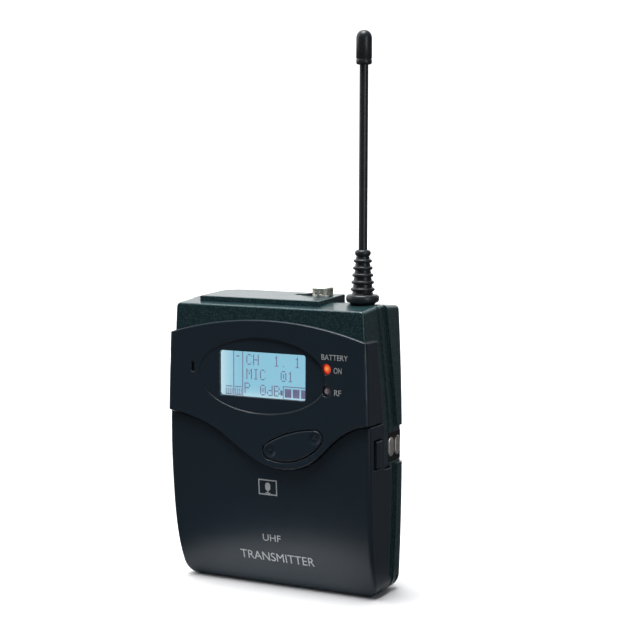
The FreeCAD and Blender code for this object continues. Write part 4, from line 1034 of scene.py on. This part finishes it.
# %% [markdown]
# The labels on the panel and the door are printed in white through a screen.
# Text objects give clean letters; they are turned to meshes, set upright and laid onto the surface.
# On the curled door a print must follow the curve. It is cut into thin slices first, so that it can bend,
# and a Shrinkwrap modifier then lays every slice on the door, a hair in front of it.

# %% Printing helpers
white_ink = make_ink("white ink", (0.66, 0.68, 0.69, 1), (0.58, 0.60, 0.61, 1))


def printed_words(words, left, right, base, top, y):
    """Upright text that fills a box between left and right, base and top, seen from the front."""
    start()
    bpy.ops.object.text_add(rotation=(math.radians(90), 0, 0))
    text = bpy.context.object
    text.data.body = words
    bpy.ops.object.convert(target="MESH")
    piece = bpy.context.object
    xs = [v.co.x for v in piece.data.vertices]
    ys = [v.co.y for v in piece.data.vertices]
    wide, tall = max(xs) - min(xs), max(ys) - min(ys)
    piece.scale = ((right - left) / wide, (top - base) / tall, 1)
    piece.location = (left - min(xs) * piece.scale.x, y, base - min(ys) * piece.scale.y)
    apply_place()
    return piece


def lay_on(piece, node, slices, gap=0.02 * MM):
    """Cuts a flat print into slices and presses it backwards onto a piece, a hair in front of it."""
    only(piece)
    low = min(v.co.z for v in piece.data.vertices)
    high = max(v.co.z for v in piece.data.vertices)
    edit()
    for i in range(1, slices):
        take_all()
        bpy.ops.mesh.bisect(plane_co=(0, 0, low + (high - low) * i / slices), plane_no=(0, 0, 1))
    leave_edit()
    wrap = piece.modifiers.new("lay on", "SHRINKWRAP")
    wrap.target, wrap.wrap_method, wrap.wrap_mode, wrap.offset = nodes[node], "PROJECT", "ABOVE_SURFACE", gap
    wrap.use_project_y = True
    wrap.use_positive_direction, wrap.use_negative_direction = True, False
    bpy.ops.object.modifier_apply(modifier=wrap.name)
    return piece


# %% Panel labels
panel_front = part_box("front_panel")[0].y - 1 * MM
labels = [
    printed_words("BATTERY", 17.9 * MM, 26.0 * MM, 67.4 * MM, 68.9 * MM, panel_front),
    printed_words("ON", 21.7 * MM, 24.1 * MM, 63.8 * MM, 65.4 * MM, panel_front),
    printed_words("RF", 21.9 * MM, 24.0 * MM, 57.7 * MM, 59.3 * MM, panel_front),
]
labels = [lay_on(label, "front_panel", slices=2) for label in labels]
joined(labels, "panel_labels", white_ink, "housing")

# %% [markdown]
# The door carries a small picture of a microphone in a square frame, the band name and the box's purpose.
# The picture is drawn from a stretched disc, a bar and a foot, cut from flat plates in the same way.

# %% Door prints
door_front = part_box("battery_door")[0].y - 4 * MM
SIGN_LEFT, SIGN_RIGHT, SIGN_LOW, SIGN_HIGH = -3.1 * MM, 2.9 * MM, 27.6 * MM, 32.1 * MM


def plate_at(x0, z0, x1, z1, y=None):
    bpy.ops.mesh.primitive_plane_add(
        size=1.0, rotation=(math.radians(90), 0, 0),
        location=((x0 + x1) / 2, door_front if y is None else y, (z0 + z1) / 2),
    )
    plate = bpy.context.object
    plate.scale = (x1 - x0, z1 - z0, 1)
    apply_place()
    return plate


def frame_plate(x0, z0, x1, z1, rim, y=None):
    """A flat square frame: a plate that is inset, with its middle deleted."""
    start()
    plate = plate_at(x0, z0, x1, z1, y)
    edit("FACE")
    take_all()
    bpy.ops.mesh.inset(thickness=rim)
    bpy.ops.mesh.delete(type="FACE")
    leave_edit()
    return plate


def disc_at(x, z, radius, y, sides=32):
    start()
    bpy.ops.mesh.primitive_circle_add(
        vertices=sides, radius=radius, fill_type="NGON", rotation=(math.radians(90), 0, 0), location=(x, y, z)
    )
    apply_place()
    return bpy.context.object


sign_x = (SIGN_LEFT + SIGN_RIGHT) / 2
sign_z = (SIGN_LOW + SIGN_HIGH) / 2
sign = [frame_plate(SIGN_LEFT, SIGN_LOW, SIGN_RIGHT, SIGN_HIGH, 0.35 * MM)]
capsule = disc_at(sign_x, sign_z + 0.55 * MM, 0.85 * MM, door_front)
choose(capsule, "VERT", lambda v: v.co.z < sign_z + 0.5 * MM)
bpy.ops.transform.translate(value=(0, 0, -0.7 * MM))
leave_edit()
sign.append(capsule)
for x0, z0, x1, z1 in ((-0.14, -1.55, 0.14, -1.0), (-0.8, -1.8, 0.8, -1.5)):
    start()
    sign.append(plate_at(sign_x + x0 * MM, sign_z + z0 * MM, sign_x + x1 * MM, sign_z + z1 * MM))
words = [
    printed_words("UHF", -2.6 * MM, 3.2 * MM, 14.0 * MM, 16.0 * MM, door_front),
    printed_words("TRANSMITTER", -10.7 * MM, 13.3 * MM, 7.9 * MM, 10.5 * MM, door_front),
]
door_parts = [lay_on(part, "battery_door", slices=4) for part in sign] + [
    lay_on(part, "battery_door", slices=10) for part in words
]
joined(door_parts, "door_prints", white_ink, "door")

# %% [markdown]
# Each end of the rocker key has a dimple for the fingertip, with a small raised triangle in it:
# down on the left and up on the right. A three-sided cylinder is a start; its front face is inset and
# pulled forward a little, so each triangle has sloped sides and catches light on one of them.
# The height of the dimple's floor is found by a ray that looks at the key from the front.

# %% Rocker arrows
def floor_of(node, x, z):
    """The y of a carried-over piece's front surface at a place, found by a ray from the front."""
    hit, where = nodes[node].ray_cast(Vector((x, -0.1, z)), Vector((0, 1, 0)))[:2]
    return where.y if hit else None


arrows = []
for x, z, turn_to in ((1.75 * MM, 40.7 * MM, 180.0), (15.75 * MM, 45.25 * MM, 0.0)):
    y = floor_of("rocker_key", x, z)
    start()
    bpy.ops.mesh.primitive_cylinder_add(
        vertices=3, radius=1.05 * MM, depth=0.24 * MM, location=(x, y, z),
        rotation=(math.radians(90), math.radians(turn_to), 0),
    )
    arrow = bpy.context.object
    apply_place()
    choose(arrow, "FACE", lambda f: f.normal.y < -0.9)
    bpy.ops.mesh.inset(thickness=0.16 * MM)
    bpy.ops.transform.translate(value=(0, -0.06 * MM, 0))
    leave_edit()
    arrows.append(arrow)
    print("arrow at y", round(y / MM, 2), "mm")
joined(arrows, "rocker_arrows", finishes["charcoal_plastic"], "rocker")

# %% [markdown]
# Two more keys hide under the door. Their legends are printed on the case below them:
# the word SET, and the usual ring with a stroke for power.

# %% Key legends
def ring_plate(x, z, radius, rim, y):
    """A flat ring: a disc that is inset, with its middle deleted."""
    ring = disc_at(x, z, radius, y)
    edit("FACE")
    take_all()
    bpy.ops.mesh.inset(thickness=rim)
    bpy.ops.mesh.delete(type="FACE")
    leave_edit()
    return ring


legend_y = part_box("front_housing")[0].y - 1 * MM
set_low, set_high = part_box("set_key")
power_low, power_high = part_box("power_key")
set_x, power_x = (set_low.x + set_high.x) / 2, (power_low.x + power_high.x) / 2
legend_top = set_low.z - 0.7 * MM
power_ring = ring_plate(power_x, legend_top - 0.9 * MM, 0.8 * MM, 0.2 * MM, legend_y)
choose(power_ring, "VERT", lambda v: v.co.z > legend_top - 0.35 * MM and abs(v.co.x - power_x) < 0.35 * MM)
bpy.ops.mesh.delete(type="VERT")
leave_edit()
start()
stroke = plate_at(power_x - 0.1 * MM, legend_top - 0.9 * MM, power_x + 0.1 * MM, legend_top, legend_y)
half_word, word_base = 1.7 * MM, legend_top - 1.4 * MM
set_word = printed_words("SET", set_x - half_word, set_x + half_word, word_base, legend_top, legend_y)
legends = [lay_on(mark, "front_housing", slices=2) for mark in (power_ring, stroke, set_word)]
joined(legends, "key_legends", white_ink, "housing")

# %% [markdown]
# The label on the back says only what every such box must say: which cells it takes.
# It has a thin frame, a picture of a cell and a line of text, in dark ink on the pale film.
# Seen from behind, left and right change places, so these pieces are made for the front and turned round.

# %% Back label print
label_low, label_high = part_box("rear_label")
label_y = label_high.y + 0.01 * MM
dark_ink = make_ink("dark ink", (0.012, 0.012, 0.014, 1), (0.03, 0.03, 0.033, 1))
MARGIN = 1.5 * MM
label_marks = [
    frame_plate(label_low.x + MARGIN, label_low.z + MARGIN, label_high.x - MARGIN, label_high.z - MARGIN,
                0.25 * MM, label_y),
    printed_words("2 x AA  1.5 V", -13 * MM, 13 * MM, 28.2 * MM, 30.6 * MM, label_y),
    printed_words("BODYPACK TRANSMITTER", -15 * MM, 15 * MM, 44.3 * MM, 46.2 * MM, label_y),
    frame_plate(-12 * MM, 34.0 * MM, 10 * MM, 40.0 * MM, 0.35 * MM, label_y),
]
start()
label_marks.append(plate_at(10.1 * MM, 35.8 * MM, 11.3 * MM, 38.2 * MM, label_y))
for x0, z0, x1, z1 in ((6.0, 36.75, 8.4, 37.25), (6.95, 35.8, 7.45, 38.2), (-10.4, 36.75, -8.0, 37.25)):
    start()
    label_marks.append(plate_at(x0 * MM, z0 * MM, x1 * MM, z1 * MM, label_y))
back_print = join_all(label_marks)
bpy.ops.transform.rotate(value=math.pi, orient_axis="Z", center_override=(0, label_y, 0))
settle(back_print, "back_label_print", dark_ink, "housing")

# %% [markdown]
# Each cell's sleeve carries a plus and a minus near its ends, so that a user knows which way round it goes.
# The marks are thin plates, cut into slices and wrapped onto the round sleeve like the door's prints.

# %% Cell marks
cell_marks = []
for node in ("upper_cell", "lower_cell"):
    low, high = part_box(node)
    z = (low.z + high.z) / 2
    y = low.y - 1 * MM
    way = 1 if node == "upper_cell" else -1
    plus_x, minus_x = way * 12 * MM, -way * 14 * MM
    for x0, z0, x1, z1 in ((plus_x - 1.5 * MM, z - 0.3 * MM, plus_x + 1.5 * MM, z + 0.3 * MM),
                           (plus_x - 0.3 * MM, z - 1.5 * MM, plus_x + 0.3 * MM, z + 1.5 * MM),
                           (minus_x - 1.5 * MM, z - 0.3 * MM, minus_x + 1.5 * MM, z + 0.3 * MM)):
        start()
        cell_marks.append(lay_on(plate_at(x0, z0, x1, z1, y), node, slices=6))
joined(cell_marks, "cell_prints", white_ink, "housing")
